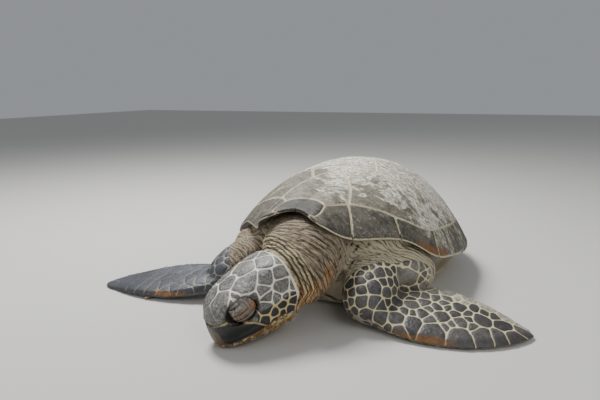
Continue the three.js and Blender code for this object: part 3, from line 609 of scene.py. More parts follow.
# the head's own frame: back from the beak tip, to its left, up, in millimetres
head = {"tip": (-67.6, -605.6, 4.8), "turn": 27, "drop": 17.2, "roll": 4.4}
turn, drop = math.radians(head["turn"]), math.radians(head["drop"])
headBack = np.array([math.sin(turn) * math.cos(drop), math.cos(turn) * math.cos(drop), math.sin(drop)])
headLeft = np.array(Matrix.Rotation(-math.radians(head["roll"]), 3, Vector(headBack))
                    @ Vector((math.cos(turn), -math.sin(turn), 0)))
headUp = np.cross(headLeft, headBack)
headAxes = np.stack([headBack, headLeft, headUp])


def toHead(points):
    return (onTurtle(points) - head["tip"]) @ headAxes.T


def fromHead(points):
    return placed(np.asarray(points, float) @ headAxes + head["tip"])


flesh = {
    "voxel": 2.1,                        # mm between the points of the fine surface
    "nodes": ["head", "upper_beak", "lower_jaw", "neck", "trunk", "tail"]
             + [f"{part}_{side}" for part in ("arm", "flipper", "hind_flipper") for side in ("left", "right")],
    "grow": 0.3,                         # mm, closes the hair gaps between the solids
    "smooth": 46, "headSmooth": 0.35,    # rounds of smoothing, and how much of each the head gets
    "snoutSmooth": 0.2,                  # less again on the snout
    "bladeHold": 0.97,                   # keeps the thin edges of the flippers where they are
}


def fleshSurface():                      # one fine surface over all the flesh
    joined = bmesh.new()
    for name in flesh["nodes"]:
        part = bmesh.new()
        part.from_mesh(nodes[name].data)
        bmesh.ops.remove_doubles(part, verts=part.verts, dist=1e-5)
        part.normal_update()
        for vertex in part.verts:
            vertex.co += vertex.normal * flesh["grow"] * mm
        mesh = bpy.data.meshes.new("part")
        part.to_mesh(mesh)
        joined.from_mesh(mesh)
        part.free()
        bpy.data.meshes.remove(mesh)
    mesh = bpy.data.meshes.new("joined")
    joined.to_mesh(mesh)
    joined.free()
    return keptBody(*readQuads(modified(inScene("joined", mesh), "REMESH", mode="VOXEL",
                                        voxel_size=flesh["voxel"] * mm, adaptivity=0)))


def smoothed(points, quads):
    edges = edgesOf(quads)
    own, turtle = toHead(points), onTurtle(points)
    onHead = 1 - ease(own[:, 0], 150, 195)
    snout = 1 - ease(own[:, 0], 5, 60)
    share = 1 - (1 - flesh["headSmooth"]) * onHead - flesh["snoutSmooth"] * snout * onHead
    foreBlade = ease(np.abs(turtle[:, 0] - 5), 205, 250) * (turtle[:, 1] < -150) * (turtle[:, 2] < 75)
    hindBlade = (turtle[:, 1] > 330) * ease(turtle[:, 1], 330, 380)
    blade = np.maximum(foreBlade, hindBlade)
    for _ in range(flesh["smooth"]):
        move = (neighbourMean(points, edges) - points) * share[:, None]
        move[:, :2] *= (1 - flesh["bladeHold"] * blade)[:, None]
        points = points + move
    return points


print("reading the flesh")
finePoints, fineQuads = fleshSurface()
print("fine surface", len(finePoints))
finePoints = smoothed(finePoints, fineQuads)

studio = {                               # places in metres, powers in watts
    "key": {"place": (-1.1, 0.3, 2.4), "size": 0.9, "power": 104},
    "fill": {"place": (2.1, -1.6, 1.7), "size": 1.8, "power": 24},
    "front": {"place": (-1.6, -2.6, 1.5), "size": 1.6, "power": 10},
    "aim": (0, -0.1, 0.1), "air": "dfe4ea", "airStrength": 0.4,
    "lens": 33.6, "eye": (586, -1470, 525.5),            # the camera, in millimetres on the turtle
    "turn": 27.94, "down": 11.51, "roll": -0.64,         # degrees
    "floor": 9, "paint": "c9c7c2",
}


def makeStage():
    camera = inScene("camera", bpy.data.cameras.new("camera"))
    camera.data.lens, camera.data.sensor_width = studio["lens"], 36
    camera.data.clip_end = 50
    turning = Matrix.Rotation(math.radians(studio["turn"]), 4, "Z") \
        @ Matrix.Rotation(math.radians(90 - studio["down"]), 4, "X") \
        @ Matrix.Rotation(math.radians(studio["roll"]), 4, "Z")
    camera.matrix_world = Matrix.Translation(placed(studio["eye"])) @ turning
    bpy.context.scene.camera = camera
    # emulsion paint, rolled on: a matt, even ground
    paint = newMaterial("pale matt floor", {"Base Color": studio["paint"], "Roughness": 0.9})[0]
    corners = [(x * studio["floor"], y * studio["floor"], 0) for x, y in ((-1, -1), (1, -1), (1, 1), (-1, 1))]
    floor = meshPiece("floor", corners, [[(0, 1, 2, 3)]], paint)
    for name in ("key", "fill", "front"):
        light = bpy.data.lights.new(name, "AREA")
        light.energy, light.size = studio[name]["power"], studio[name]["size"]
        lamp = inScene(name, light)
        lamp.location = studio[name]["place"]
        lamp.rotation_euler = (Vector(studio["aim"]) - lamp.location).to_track_quat("-Z", "Y").to_euler()
    world = bpy.data.worlds.new("studio")
    world.use_nodes = True
    feed(world.node_tree, world.node_tree.nodes["Background"],
         {"Color": studio["air"], "Strength": studio["airStrength"]})
    bpy.context.scene.world = world


# where each kind of surface begins and ends, in the head's frame and on the turtle
orbit = {"back": 59, "up": 68, "tilt": 18, "long": 33, "ahead": 40, "high": 24, "sink": 10, "brow": 3.6}
headRear = {"back": 181, "jawBack": 163}
mouthLine = [(-30, 0), (30, 3), (85, 9), (126, 15), (150, 10), (170, 4)]
beakLine = [(-8, 50), (8, 54), (24, 56), (40, 47), (67, 35), (84, 20), (92, 12)]
scaleEdge = {"across": 0.607, "ahead": -0.795, "left": 374, "right": 418, "step": 16, "hind": 338}


def orbitReach(own):                     # 1 on the rim of the eye socket, 0 at its middle
    tilt = math.radians(orbit["tilt"])
    back, up = own[:, 0] - orbit["back"], own[:, 2] - orbit["up"]
    along = back * math.cos(tilt) + up * math.sin(tilt)
    along = along / np.where(along < 0, orbit["ahead"], orbit["long"])
    across = (up * math.cos(tilt) - back * math.sin(tilt)) / orbit["high"]
    return np.where(np.abs(own[:, 1]) > 30, np.hypot(along, across), 9)


def behindHead(own):                     # millimetres behind the rear edge of the head's shields
    low = 1 - ease(own[:, 2], 0, 38)
    return own[:, 0] - headRear["back"] + (headRear["back"] - headRear["jawBack"]) * low


def aboveLine(own, line):
    line = np.asarray(line, float)
    return own[:, 2] - np.interp(own[:, 0], line[:, 0], line[:, 1])


def nearHead(own, turtle):
    return (own[:, 0] < 320) & (np.abs(own[:, 1]) < 150) & (turtle[:, 1] < -330)


def pastElbow(turtle):                   # millimetres past the line where the arm's scales begin
    left, outward = turtle[:, 0] > 10, np.abs(turtle[:, 0])
    reach = scaleEdge["across"] * outward + scaleEdge["ahead"] * turtle[:, 1]
    reach = reach + scaleEdge["step"] * ease(outward, 195, 222)
    reach = reach - np.where(left, scaleEdge["left"], scaleEdge["right"])
    away, fromLeft, fromRight = (fromAxis(turtle, limbPaths[limb]) for limb in ("neck", "left", "right"))
    onArm = (turtle[:, 1] < -150) & (outward > 95) & (away > np.where(left, fromLeft, fromRight) + 12)
    return np.where(onArm, reach, -200)


# each limb's skin is creased in rings round its own axis
limbPaths = {
    "neck": [(-8, -520, 85), (0, -478, 101), (13, -448, 115), (20, -428, 130), (19, -392, 150),
             (8, -345, 163), (0, -290, 168), (0, -180, 168)],
    "left": [(120, -175, 120), (146, -215, 112), (152, -280, 102), (158, -330, 80), (169, -372, 60),
             (178, -398, 49), (190, -430, 40)],
    "right": [(-130, -180, 118), (-150, -220, 114), (-178, -275, 102), (-204, -318, 82),
              (-222, -354, 62), (-232, -376, 52), (-240, -400, 46)],
}


def fromAxis(turtle, path):              # millimetres from a limb's axis
    path = np.asarray(path, float)
    least = np.full(len(turtle), 1e9)
    for a, b in zip(path, path[1:]):
        part = np.clip((turtle - a) @ (b - a) / np.linalg.norm(b - a)**2, 0, 1)
        offset = turtle - a - part[:, None] * (b - a)
        least = np.minimum(least, np.linalg.norm(offset, axis=1))
    return least


def layOf(turtle, path, radius, blend=26):       # smooth coordinates along a limb and round it
    path = np.asarray(path, float)
    lengths = np.concatenate([[0], np.cumsum(np.linalg.norm(np.diff(path, axis=0), axis=1))])
    runs = np.arange(0, lengths[-1], 9)
    stations = between(np.column_stack([lengths, path]), runs)
    total, run, middle = np.zeros(len(turtle)), np.zeros(len(turtle)), np.zeros_like(turtle)
    least = np.full(len(turtle), 1e12)
    for station in stations:
        least = np.minimum(least, ((turtle - station) ** 2).sum(1))
    for station, where in zip(stations, runs):
        weight = np.exp(-(((turtle - station) ** 2).sum(1) - least) / (2.2 * blend * np.sqrt(least) + 200))
        total += weight
        run += weight * where
        middle += weight[:, None] * station
    around = turtle - middle / total[:, None]
    around /= np.maximum(np.linalg.norm(around, axis=1), 1)[:, None]
    return run / total, around, np.column_stack([run / total, radius * around[:, [0, 2]]])


def creased(phase, width):               # 0 in a crease at each whole number, 1 between
    distance = np.abs(phase - np.round(phase))
    return 1 - np.exp(-(distance / width) ** 2)


def barkFolds(run, around, pitch, seed, lean=0.9):   # two sets of creases that cross at a low angle
    tilt = lean * around[:, 0]
    place = np.column_stack([run / 34, around[:, [0, 2]] * 2.2])
    close = np.column_stack([run / 11, around[:, [0, 2]] * 6])
    wander = 0.62 * cloud(place, 1, seed) + 0.2 * cloud(close, 1, seed + 1)
    first = creased(run / pitch + tilt + wander, 0.17)
    second = creased(run / (1.4 * pitch) - 1.2 * tilt + wander + 0.2 * cloud(close, 1, seed + 2), 0.12)
    fade = ease(cloud(np.column_stack([run / 15, around[:, [0, 2]] * 3.2]), 1, seed + 3), -0.5, 0.1)
    coarse = (1 - (1 - first) * (0.4 + 0.6 * fade)) * (1 - (1 - second) * (1 - 0.75 * fade))
    fine = creased(run / (pitch * 0.44) + 1.5 * tilt + 0.9 * cloud(close, 1, seed + 4), 0.2)
    return coarse, fine


def near(turtle, place, size):           # 1 at the place, fading over that many millimetres
    return np.exp(-(np.linalg.norm(turtle - place, axis=1) / size) ** 2)


skinLook = {                             # patches are place on the turtle, reach in mm, and how much
    "neckPitch": 9.5, "armPitch": 8.0, "collarPitch": 8.4, "rearPitch": 5.5,         # mm from fold to fold
    "neckDepth": 2.2, "armDepth": 2.4, "collarDepth": 3.8, "rearDepth": 1.2,         # mm
    "sand": {"left": 0.85, "right": 0.15},               # dry sand on each shoulder; the right's small share is partly painted shade
    # cream on the fold tops, dust and partly painted highlight; little on the right shoulder, as painted shade
    "pale": [((195, -275, 150), 105, 0.75), ((-200, -265, 150), 70, 0.15)],
    "speck": ((128, -365, 160), 72),
    "warm": [((109, -438, 131), 24, 0.65), ((96, -440, 92), 40, 0.3), ((60, -470, 60), 50, 0.3),
             ((-95, -440, 92), 46, 0.3)],
}


def collarFolds(own, behind, swell):     # rolls just behind the head's shields: height in mm and share
    warp = 4.6 * cloud(own, 40, 21) + 1.5 * cloud(own, 15, 22)
    rolls = creased((behind + warp + 1.5) / skinLook["collarPitch"], 0.24)
    rolls *= creased((behind * 0.8 - 1.3 * warp + 0.09 * own[:, 1]) / 11, 0.13) * 0.7 + 0.3
    fine = creased((behind + 2 * warp) / 3.4, 0.22)
    height = skinLook["collarDepth"] * swell * (rolls - 0.8) + 0.8 * (fine - 1)
    return height, (0.02 + 0.98 * rolls) * (0.6 + 0.4 * fine)


def rearFolds(points, turtle, cells):    # by the hind legs the skin is finer
    fold = creased(turtle[:, 1] / skinLook["rearPitch"] + 1.8 * cloud(points, 0.03, 51), 0.2)
    outward = np.hypot(turtle[:, 0], turtle[:, 2])
    fold *= 0.4 + 0.6 * creased(outward / 6 + 1.8 * cloud(points, 0.025, 52), 0.2)
    return skinLook["rearDepth"] * (fold - 1) + 0.3 * cells, 0.35 + 0.65 * fold


def skinRelief(points):                  # height in mm over the smooth flesh, and the marks for its colour
    turtle, own = onTurtle(points), toHead(points)
    behind = behindHead(own)
    away = fromAxis(turtle, limbPaths["neck"])
    run, around, neckLay = layOf(turtle, limbPaths["neck"], 85)
    coarse, fine = barkFolds(run, around, skinLook["neckPitch"], 11, 0.35)
    height = skinLook["neckDepth"] * (coarse - 1) + 0.8 * (fine - 1) + 0.9 * cloud(points, 0.022, 42)
    fold = 0.15 + 0.85 * coarse * (0.5 + 0.5 * fine)
    collar = ease(behind, -6, 2) * (1 - ease(behind, 26, 52)) * nearHead(own, turtle)
    rollHeight, rollFold = collarFolds(own, behind, 1 + 0.5 * cloud(own, 26, 23))
    height = height * (1 - collar) + collar * rollHeight
    fold = fold * (1 - collar) + collar * rollFold
    armLay, armShare, sand = np.zeros_like(turtle), np.zeros(len(turtle)), np.zeros(len(turtle))
    for hand, side in ((1, "left"), (-1, "right")):      # the shoulders' folds run round the arms
        armAway = fromAxis(turtle, limbPaths[side])
        armRun, armAround, ownLay = layOf(turtle, limbPaths[side], 75)
        coarse, fine = barkFolds(armRun, armAround, skinLook["armPitch"], 31, 0.3)
        mix = ease(away - armAway, -18, 30) * (turtle[:, 0] * hand > 25)
        sameSide = turtle[:, 0] * hand > 0
        armLay[sameSide] = ownLay[sameSide]
        armShare = np.maximum(armShare, mix)
        sand = np.maximum(sand, mix * skinLook["sand"][side])
        rough = 1 - ease(armRun, 150, 215) * 0.4
        armHeight = skinLook["armDepth"] * (coarse - 1) + 0.7 * (fine - 1) + 0.8 * cloud(points, 0.02, 43)
        height = height * (1 - mix) + mix * rough * armHeight
        fold = fold * (1 - mix) + mix * (0.15 + 0.85 * coarse * (0.55 + 0.45 * fine))
    cells = cloud(points, 0.0052, 41)
    height += 0.35 * cells * (1 - 0.5 * collar)
    rear = ease(turtle[:, 1], 60, 160)
    rearHeight, rearFold = rearFolds(points, turtle, cells)
    height = height * (1 - rear) + rear * rearHeight
    fold = fold * (1 - rear) + rear * rearFold
    # under the head's own shields the skin is smooth
    height *= 1 - (1 - ease(behind, -14, -2)) * (own[:, 0] < 200)
    low = 1 - ease(turtle[:, 2], 18, 60)
    # cream on the fold tops: dust, and partly a painted highlight, since it shows only where the folds stand
    # high
    pale = sum(much * near(turtle, place, size) for place, size, much in skinLook["pale"])
    pale = np.clip(pale + 0.55 * low * (1 - collar) + 0.25 * rear + 0.85 * collar, 0, 0.9)
    warm = 0.6 * collar * (1 - ease(own[:, 2], 15, 85)) + 0.2 * collar
    warm = warm + sum(much * near(turtle, place, size) for place, size, much in skinLook["warm"])
    # painted shade: the skin inside the eye socket is darkened nearly black
    recessShade = (1 - ease(orbitReach(own), 0.9, 1.06)) * (own[:, 0] < 120)
    return height, {"fold": fold, "warm": np.clip(warm, 0, 1), "pale": pale, "recessShade": recessShade, "sand": sand,
                    "speck": near(turtle, *skinLook["speck"]), "neckLay": neckLay, "armLay": armLay,
                    "armShare": armShare}


nostril = {"place": (1, 7, 50), "size": (8, 3.2, 3.8), "depth": 4.5}     # back, left, up; mm


def sculptHead(points, quads):           # sockets, brows, cheeks and the mouth, on the fine surface
    own = toHead(points)
    reach, behind = orbitReach(own), behindHead(own)
    front = (own[:, 0] < 215) & (np.abs(own[:, 1]) < 110)
    upDown = own[:, 2] - orbit["up"]
    hang = ease(upDown, 0, 16) * ease(own[:, 0], 34, 48)     # the brow hangs over the lid
    height = -orbit["sink"] * (1 - ease(reach, 0.82, 1.1)) * (own[:, 0] < 120) * (1 - hang)
    height += orbit["brow"] * np.exp(-((reach - 1.1) / 0.3) ** 2) * ease(upDown, -5, 14)
    mouth = aboveLine(own, mouthLine)
    side = ease(np.hypot(own[:, 1], 0.6 * np.minimum(own[:, 0] - 20, 0)), 4, 18)
    mouthShare = (own[:, 0] < 150) * (1 - ease(own[:, 0], 120, 150))
    height -= 3.0 * np.exp(-(mouth / 2.2) ** 2) * mouthShare * side          # the gap between the jaws
    height += 1.6 * np.exp(-((mouth - 9) / 6) ** 2) * mouthShare * (own[:, 0] > 5)       # the lip over it
    height += 1.8 * np.exp(-((behind + 9) / 9) ** 2) - 3.5 * np.exp(-((behind - 2) / 3.0) ** 2)
    for hand in (1, -1):
        hole = np.linalg.norm((own - np.multiply(nostril["place"], (1, hand, 1))) / nostril["size"], axis=1)
        height -= nostril["depth"] * (1 - ease(hole, 0.4, 1.25))
    return points + vertexNormals(points, quads) * (height * front * mm)[:, None]


# the coats are thin horny plates over the skin, made from the same fine surface
def refined(points, quads, mask, levels=1):      # one region's faces, divided, and how far in from its rim
    chosen = quads[mask[quads].all(1)]
    chosen = chosen[biggest(chosen, len(points))[chosen[:, 0]]]
    used = np.unique(chosen)
    index = np.full(len(points), -1)
    index[used] = np.arange(len(used))
    region = meshPiece("region", points[used], [index[chosen]])
    points, quads = readQuads(modified(region, "SUBSURF", levels=levels))
    return points, quads, fromRim(quads, len(points), 6)


def fromRim(quads, count, most):         # 0 on the open rim, then 1, 2, ... rings inwards
    edges = edgesOf(quads)
    ordered = np.sort(edges, 1).astype(np.int64)
    keys = ordered[:, 0] * count + ordered[:, 1]
    inverse, times = np.unique(keys, return_inverse=True, return_counts=True)[1:]
    ring = np.full(count, most)
    ring[ordered[times[inverse] == 1].ravel()] = 0
    for _ in range(most):
        low = ring[edges].min(1) + 1
        np.minimum.at(ring, edges[:, 0], low)
        np.minimum.at(ring, edges[:, 1], low)
    return ring


plates = {
    "rounding": 2.2,                     # mm of rounding at a plate's corners
    "batch": 20000,                      # points looked at together
    "tries": 9000, "most": 3000,         # places tried for the small plates, and how many there can be
    "tuck": 1.6, "tuckRings": 3,         # a coat's rim goes this many mm under, over as many rings
}


def nearestPlate(places, seeds, owner, radii):   # which plate a point is on, and how far from its seam
    plate = np.empty(len(places), int)
    edge = np.empty(len(places))
    apart = 2 * np.linalg.norm(seeds[:, None] - seeds[None], axis=2) + 1e-6
    apart[owner[:, None] == owner[None]] = 1e-9
    size = (seeds**2).sum(1) - radii**2
    rounding, batch = plates["rounding"], plates["batch"]
    for start in range(0, len(places), batch):
        power = size - 2 * places[start:start + batch] @ seeds.T
        best = power.argmin(1)
        gap = (power - power.min(1)[:, None] + 1e-6) / apart[best]
        closest = np.sort(np.partition(gap, 2, axis=1)[:, :3], 1)
        soft = rounding * np.log1p(np.exp(-(closest[:, 1] - closest[:, 0]) / rounding))
        plate[start:start + batch] = owner[best]
        edge[start:start + batch] = closest[:, 0] - soft
    return plate, edge


def scattered(places, spacing, fixed, seed):     # more seeds, no closer to each other than the spacing
    order = np.random.default_rng(seed).permutation(len(places))[:plates["tries"]]
    count = len(fixed[0])
    seeds, reach = np.zeros((plates["most"], places.shape[1])), np.zeros(plates["most"])
    if count:
        seeds[:count], reach[:count] = fixed
    for k in order:
        apart = np.linalg.norm(seeds[:count] - places[k], axis=1)
        if (apart >= 0.5 * (reach[:count] + spacing[k])).all():
            seeds[count], reach[count] = places[k], spacing[k]
            count += 1
    return seeds[:count], reach[:count]


def warped(places, much, size, seed):    # the places, pushed about in soft lumps, so that seams wander
    return places + much * np.column_stack([cloud(places, size, k) for k in range(seed, seed + 3)])


def insideBox(points):                   # nothing reaches past the solids' own box
    spare = 0.4 * mm
    return np.clip(points, np.array(cadBox[0]) + spare, np.array(cadBox[1]) - spare)


def coatPiece(name, surface, height, marks, material, unwrap):
    points, quads, rim = surface
    tuck = plates["tuck"] * (1 - ease(rim, 0, plates["tuckRings"]))
    points = insideBox(points + vertexNormals(points, quads) * ((height - tuck) * mm)[:, None])
    piece = meshPiece(name, points, [quads], material, marks)
    layer = piece.data.uv_layers.new(name="OFBake")
    layer.uv.foreach_set("vector", np.column_stack(unwrap)[quads.ravel()].astype(np.float32).ravel())
    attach(piece, "root")
    print(name, len(quads) * 2, "triangles")
    return piece


headSeeds = [                            # plate, back, left, up, reach: pairs are mirrored
    ("prefrontal", 30, 22, 92, 24), ("snout", 4, 0, 74, 14), ("frontal", 66, 0, 111, 20),
    ("crown", 112, 13, 124, 22), ("supraocular", 84, 44, 110, 24), ("supraocular", 104, 42, 116, 18),
    ("parietal", 148, 31, 125, 23), ("sideParietal", 125, 60, 109, 20), ("temporalTop", 157, 64, 100, 18),
    ("temporal", 150, 71, 76, 19), ("behindBrow", 110, 67, 90, 13), ("smallCheek", 112, 69, 71, 12),
    ("midCheek", 131, 72, 60, 13), ("postocular", 100, 70, 49, 14), ("rearCheek", 174, 68, 64, 14),
    ("rearTop", 172, 40, 116, 16), ("rearCrown", 170, 0, 124, 17),
    ("cheek1", 149, 71, 52, 11), ("cheek2", 136, 70, 38, 12), ("cheek3", 115, 69, 30, 12),
    ("cheek4", 133, 68, 20, 10), ("cheek5", 92, 66, 28, 12), ("cheek6", 163, 70, 34, 11),
    ("cheek7", 151, 68, 18, 10), ("cheek8", 166, 69, 50, 10), ("cheek9", 112, 68, 16, 9),
    ("underEye", 74, 64, 38, 8), ("brow", 58, 50, 97, 8), ("brow2", 72, 56, 95, 7),
    ("pebble1", 52, 54, 90, 5), ("pebble2", 63, 57, 89, 5), ("pebble3", 74, 60, 87, 5),
    ("pebble4", 83, 62, 88, 6), ("pebble5", 44, 50, 88, 5),
]


def makeHeadShields(points, quads, material):
    own = toHead(points)
    region = (behindHead(own) < 3) & (aboveLine(own, mouthLine) > -1) & (np.abs(own[:, 1]) < 110)
    beak = (aboveLine(own, beakLine) < 1) & (own[:, 0] < 93)
    hang = ease(own[:, 2] - orbit["up"], 2, 15) * ease(own[:, 0], 34, 48)
    region &= (orbitReach(own) > 0.95 - 0.25 * hang) & ~beak
    surface = refined(points, quads, region)
    own = toHead(surface[0])
    names = sorted({seed[0] for seed in headSeeds})
    seeds, owner, radii = [], [], []
    for name, back, left, up, reach in headSeeds:
        shared = name in ("crown", "frontal", "snout", "rearCrown")      # one plate across the midline
        for hand in (1, -1) if left else (1,):
            seeds.append((back, left * hand, up))
            owner.append(names.index(name) * 2 + (hand < 0 and not shared))
            radii.append(reach)
    seeds, owner, radii = np.array(seeds, float), np.array(owner), np.array(radii, float)
    plate, edge = nearestPlate(warped(own, 1.3, 11, 61), seeds, owner, radii)
    random = np.random.default_rng(5).random(2 * len(names))[plate]
    cheek = (1 - ease(own[:, 2], 44, 58)) * ease(own[:, 0], 66, 84)
    front = 1 - ease(own[:, 0], 38, 52)
    creamRim = np.minimum(-behindHead(own) - 1.5 + 1.2 * cloud(own, 9, 71), 40)      # along the crown's rear
    edge = np.minimum(np.minimum(edge, 9), creamRim - 4.5)
    seamHalf = 1.3 - 0.1 * cheek
    height = 1.3 * ease(edge, seamHalf - 1.4, seamHalf + 1.6) + 0.35 * ease(edge, 2, 9)
    height = height + (0.35 * cloud(own, 5.5, 64) + 0.2 * cloud(own, 2.6, 65))
    seam = 1 - ease(edge, seamHalf - 0.7, seamHalf + 0.5)
    shade = (0.78 + 0.42 * random - 0.10 * front) * (0.8 + 0.2 * ease(edge, 1.5, 8))
    black = 0.93 * ease(cheek, 0.4, 0.8)
    warm = 0.9 * cheek * (1 - 0.7 * ease(own[:, 0], 150, 178)) * seam
    warm = warm + 0.35 * (1 - ease(own[:, 2], 56, 66)) * (1 - ease(own[:, 0], 10, 22))
    pale = 0.25 * ease(own[:, 2], 84, 100) * ease(cloud(own, 14, 66), 0.1, 0.7)
    seam = seam * (1 - 0.75 * front * (1 - ease(own[:, 2], 84, 92)))
    # painted shade: the shields darken towards the eye socket, most in front of it
    socketShade = 1 - ease(orbitReach(own), 0.98, 1.16 + 0.2 * (1 - ease(own[:, 0], 30, 45)))
    marks = {"shade": shade, "black": np.maximum(black, 0.55 * socketShade), "warm": np.clip(warm, 0, 1),
             "seam": seam * (1 - 0.8 * socketShade), "pale": pale}
    unwrap = 0.5 + np.arctan2(own[:, 1], own[:, 2] - 30) / 5.2, 0.03 + own[:, 0] / 210
    coatPiece("headShields", surface, height, marks, material, unwrap)


def makeBeak(points, quads, material):
    own = toHead(points)
    region = (aboveLine(own, beakLine) < 2.5) & (own[:, 0] < 96) & (aboveLine(own, mouthLine) > -1)
    region &= (np.abs(own[:, 1]) < 110) & (orbitReach(own) > 0.93)
    surface = refined(points, quads, region)
    own = toHead(surface[0])
    line = aboveLine(own, beakLine)
    ridge = np.exp(-((line + 0.5) / 2.0) ** 2) * ease(own[:, 0], 6, 14)
    height = 0.7 + 1.0 * ridge + 0.25 * cloud(own * (1, 1, 0.5), 4, 81)
    side = np.abs(own[:, 1]) + 0.5 * own[:, 0] + 0.42 * (own[:, 2] - 46) + 2 * cloud(own, 8, 84)
    side = ease(side, 14, 24)            # 0 on the brown front of the beak, 1 on its black sides
    black = np.clip(side * (1 - ease(line, -4, -1.5)) + 0.25 * ease(cloud(own, 7, 82), 0, 0.6), 0, 1)
    black *= 1 - 0.9 * np.exp(-((aboveLine(own, mouthLine) - 1) / 3.5) ** 2) * (1 - ease(own[:, 0], 40, 75))
    warm = np.clip(0.7 * (1 - side) * (1 - 0.5 * ease(own[:, 2], 8, 32)) + 0.35 * ridge, 0, 1)
    mirrored = np.column_stack([own[:, 0], np.abs(own[:, 1]), own[:, 2]])
    hole = np.linalg.norm((mirrored - nostril["place"]) / (8, 3.4, 4), axis=1)
    # painted shade: the beak's brown front is darkened with black, and the nostrils are painted black inside
    black = np.maximum(np.maximum(black, 0.85 * (1 - side)), 1 - ease(hole, 0.7, 1.2))
    marks = {"shade": 0.95 + 0.2 * cloud(own, 9, 83), "black": black, "warm": warm, "seam": 0.85 * ridge * side,
             "pale": 0.2 * ridge}
    unwrap = 0.5 + np.arctan2(own[:, 1], own[:, 0] + 30) / 4, 0.05 + own[:, 2] / 75
    piece = coatPiece("upperBeak", surface, height, marks, material, unwrap)
    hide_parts("upper_beak")


def makeJaw(points, quads, material):
    own = toHead(points)
    region = (aboveLine(own, mouthLine) < 1) & (behindHead(own) < 3) & (np.abs(own[:, 1]) < 110)
    surface = refined(points, quads, region)
    own = toHead(surface[0])
    seeds = scattered(own, np.where(own[:, 0] < 60, 22, 13), ([], []), 91)[0]
    plate, edge = nearestPlate(warped(own, 1.2, 9, 92), seeds, np.arange(len(seeds)), np.ones(len(seeds)))
    horny = 1 - ease(own[:, 0], 60, 90)  # no scales in front, where the jaw is all beak
    edge = edge * (1 - horny) + 6 * horny
    height = 0.8 * ease(edge, 0.3, 2.6) + 0.25 * cloud(own, 4, 95)
    streaks = own * (0.45, 1, 1)         # they run along the jaw
    speckle = ease(cloud(streaks, 2.6, 96) + 0.4 * cloud(streaks, 7, 97), 0.0, 0.5)
    marks = {"shade": 0.85 + 0.3 * np.random.default_rng(9).random(len(seeds))[plate],
             "black": 0.7 * ease(cloud(streaks, 5, 98), 0.1, 0.5) * (1 - horny),
             "warm": 0.8 - 0.6 * speckle, "seam": 0.6 * (1 - ease(edge, 1.1, 2.0)), "pale": 0.7 * speckle}
    unwrap = 0.5 + own[:, 1] / 190, 0.05 + own[:, 0] / 210
    coatPiece("jawScales", surface, height, marks, material, unwrap)


bigPlate = (225, -289, 99, 40)           # the smooth plate behind the elbow
leftPlates = [                           # the large plates along the left flipper: x, y, z, reach
    (182, -412, 44, 30), (213, -405, 42, 30), (242, -393, 40, 31), (276, -391, 36, 34), (321, -393, 25, 42),
    (372, -382, 22, 44), (414, -357, 23, 36), (443, -340, 18, 30), (473, -318, 13, 34),
    (207, -395, 60, 22), (226, -352, 59, 26), (260, -340, 56, 26), (288, -356, 46, 24), (327, -346, 42, 30),
    (403, -312, 38, 34), (445, -300, 26, 32), (231, -318, 64, 22), (255, -302, 64, 20),
    (283, -319, 57, 22), (299, -292, 60, 20), (310, -322, 52, 20), (368, -345, 37, 26), (353, -300, 53, 28),
    (134, -389, 99, 20), (156, -386, 110, 22), (191, -387, 102, 28), (190, -353, 122, 26), (217, -371, 87, 24),
    (174, -417, 76, 24), (199, -409, 74, 22),
    bigPlate, (238, -282, 96, 34, bigPlate), (211, -297, 104, 34, bigPlate),        # three seeds of one
    (145, -407, 87, 18), (128, -402, 74, 18),
    (266, -256, 68, 34), (318, -254, 60, 36), (363, -250, 52, 34), (404, -254, 40, 32), (440, -260, 28, 28),
]
rightPlates = [
    (-260, -410, 51, 26), (-263, -374, 63, 26), (-298, -406, 50, 24), (-255, -427, 37, 24), (-315, -417, 45, 22),
    (-319, -443, 32, 30), (-345, -403, 45, 26), (-333, -453, 27, 26), (-360, -429, 36, 28), (-384, -440, 29, 30),
    (-412, -438, 27, 32), (-329, -381, 53, 26), (-373, -364, 50, 32), (-406, -394, 39, 32), (-446, -435, 24, 36),
    (-485, -435, 18, 40),
]
flippers = {
    "left": {"hand": 1, "plates": leftPlates, "coarser": 0,          # mm added to the scales' spacing
             "seam": 1.0, "worn": 0,     # half a seam's width, and how plain the upper face is worn
             "rearY": -272, "lobesY": -276, "lobesPale": 1,          # the rear edge and its pale lobes
             "front": [(150, -410), (245, -412), (365, -402), (425, -368), (500, -285)], "frontHigh": 22},
    "right": {"hand": -1, "plates": rightPlates, "coarser": 4, "seam": 0.7, "worn": 0.65,
              "rearY": -362, "lobesY": -368, "lobesPale": 0.3,
              "front": [(200, -399), (290, -434), (350, -456), (420, -464), (554, -434)], "frontHigh": 28},
}


def leadingEdge(turtle, limb):           # 1 low on the front edge of a fore flipper
    outward, frontY = np.transpose(limb["front"])
    behind = turtle[:, 1] - np.interp(turtle[:, 0] * limb["hand"], outward, frontY)
    return (1 - ease(behind, 3, 15)) * (1 - ease(turtle[:, 2], limb["frontHigh"] - 8, limb["frontHigh"] + 6))


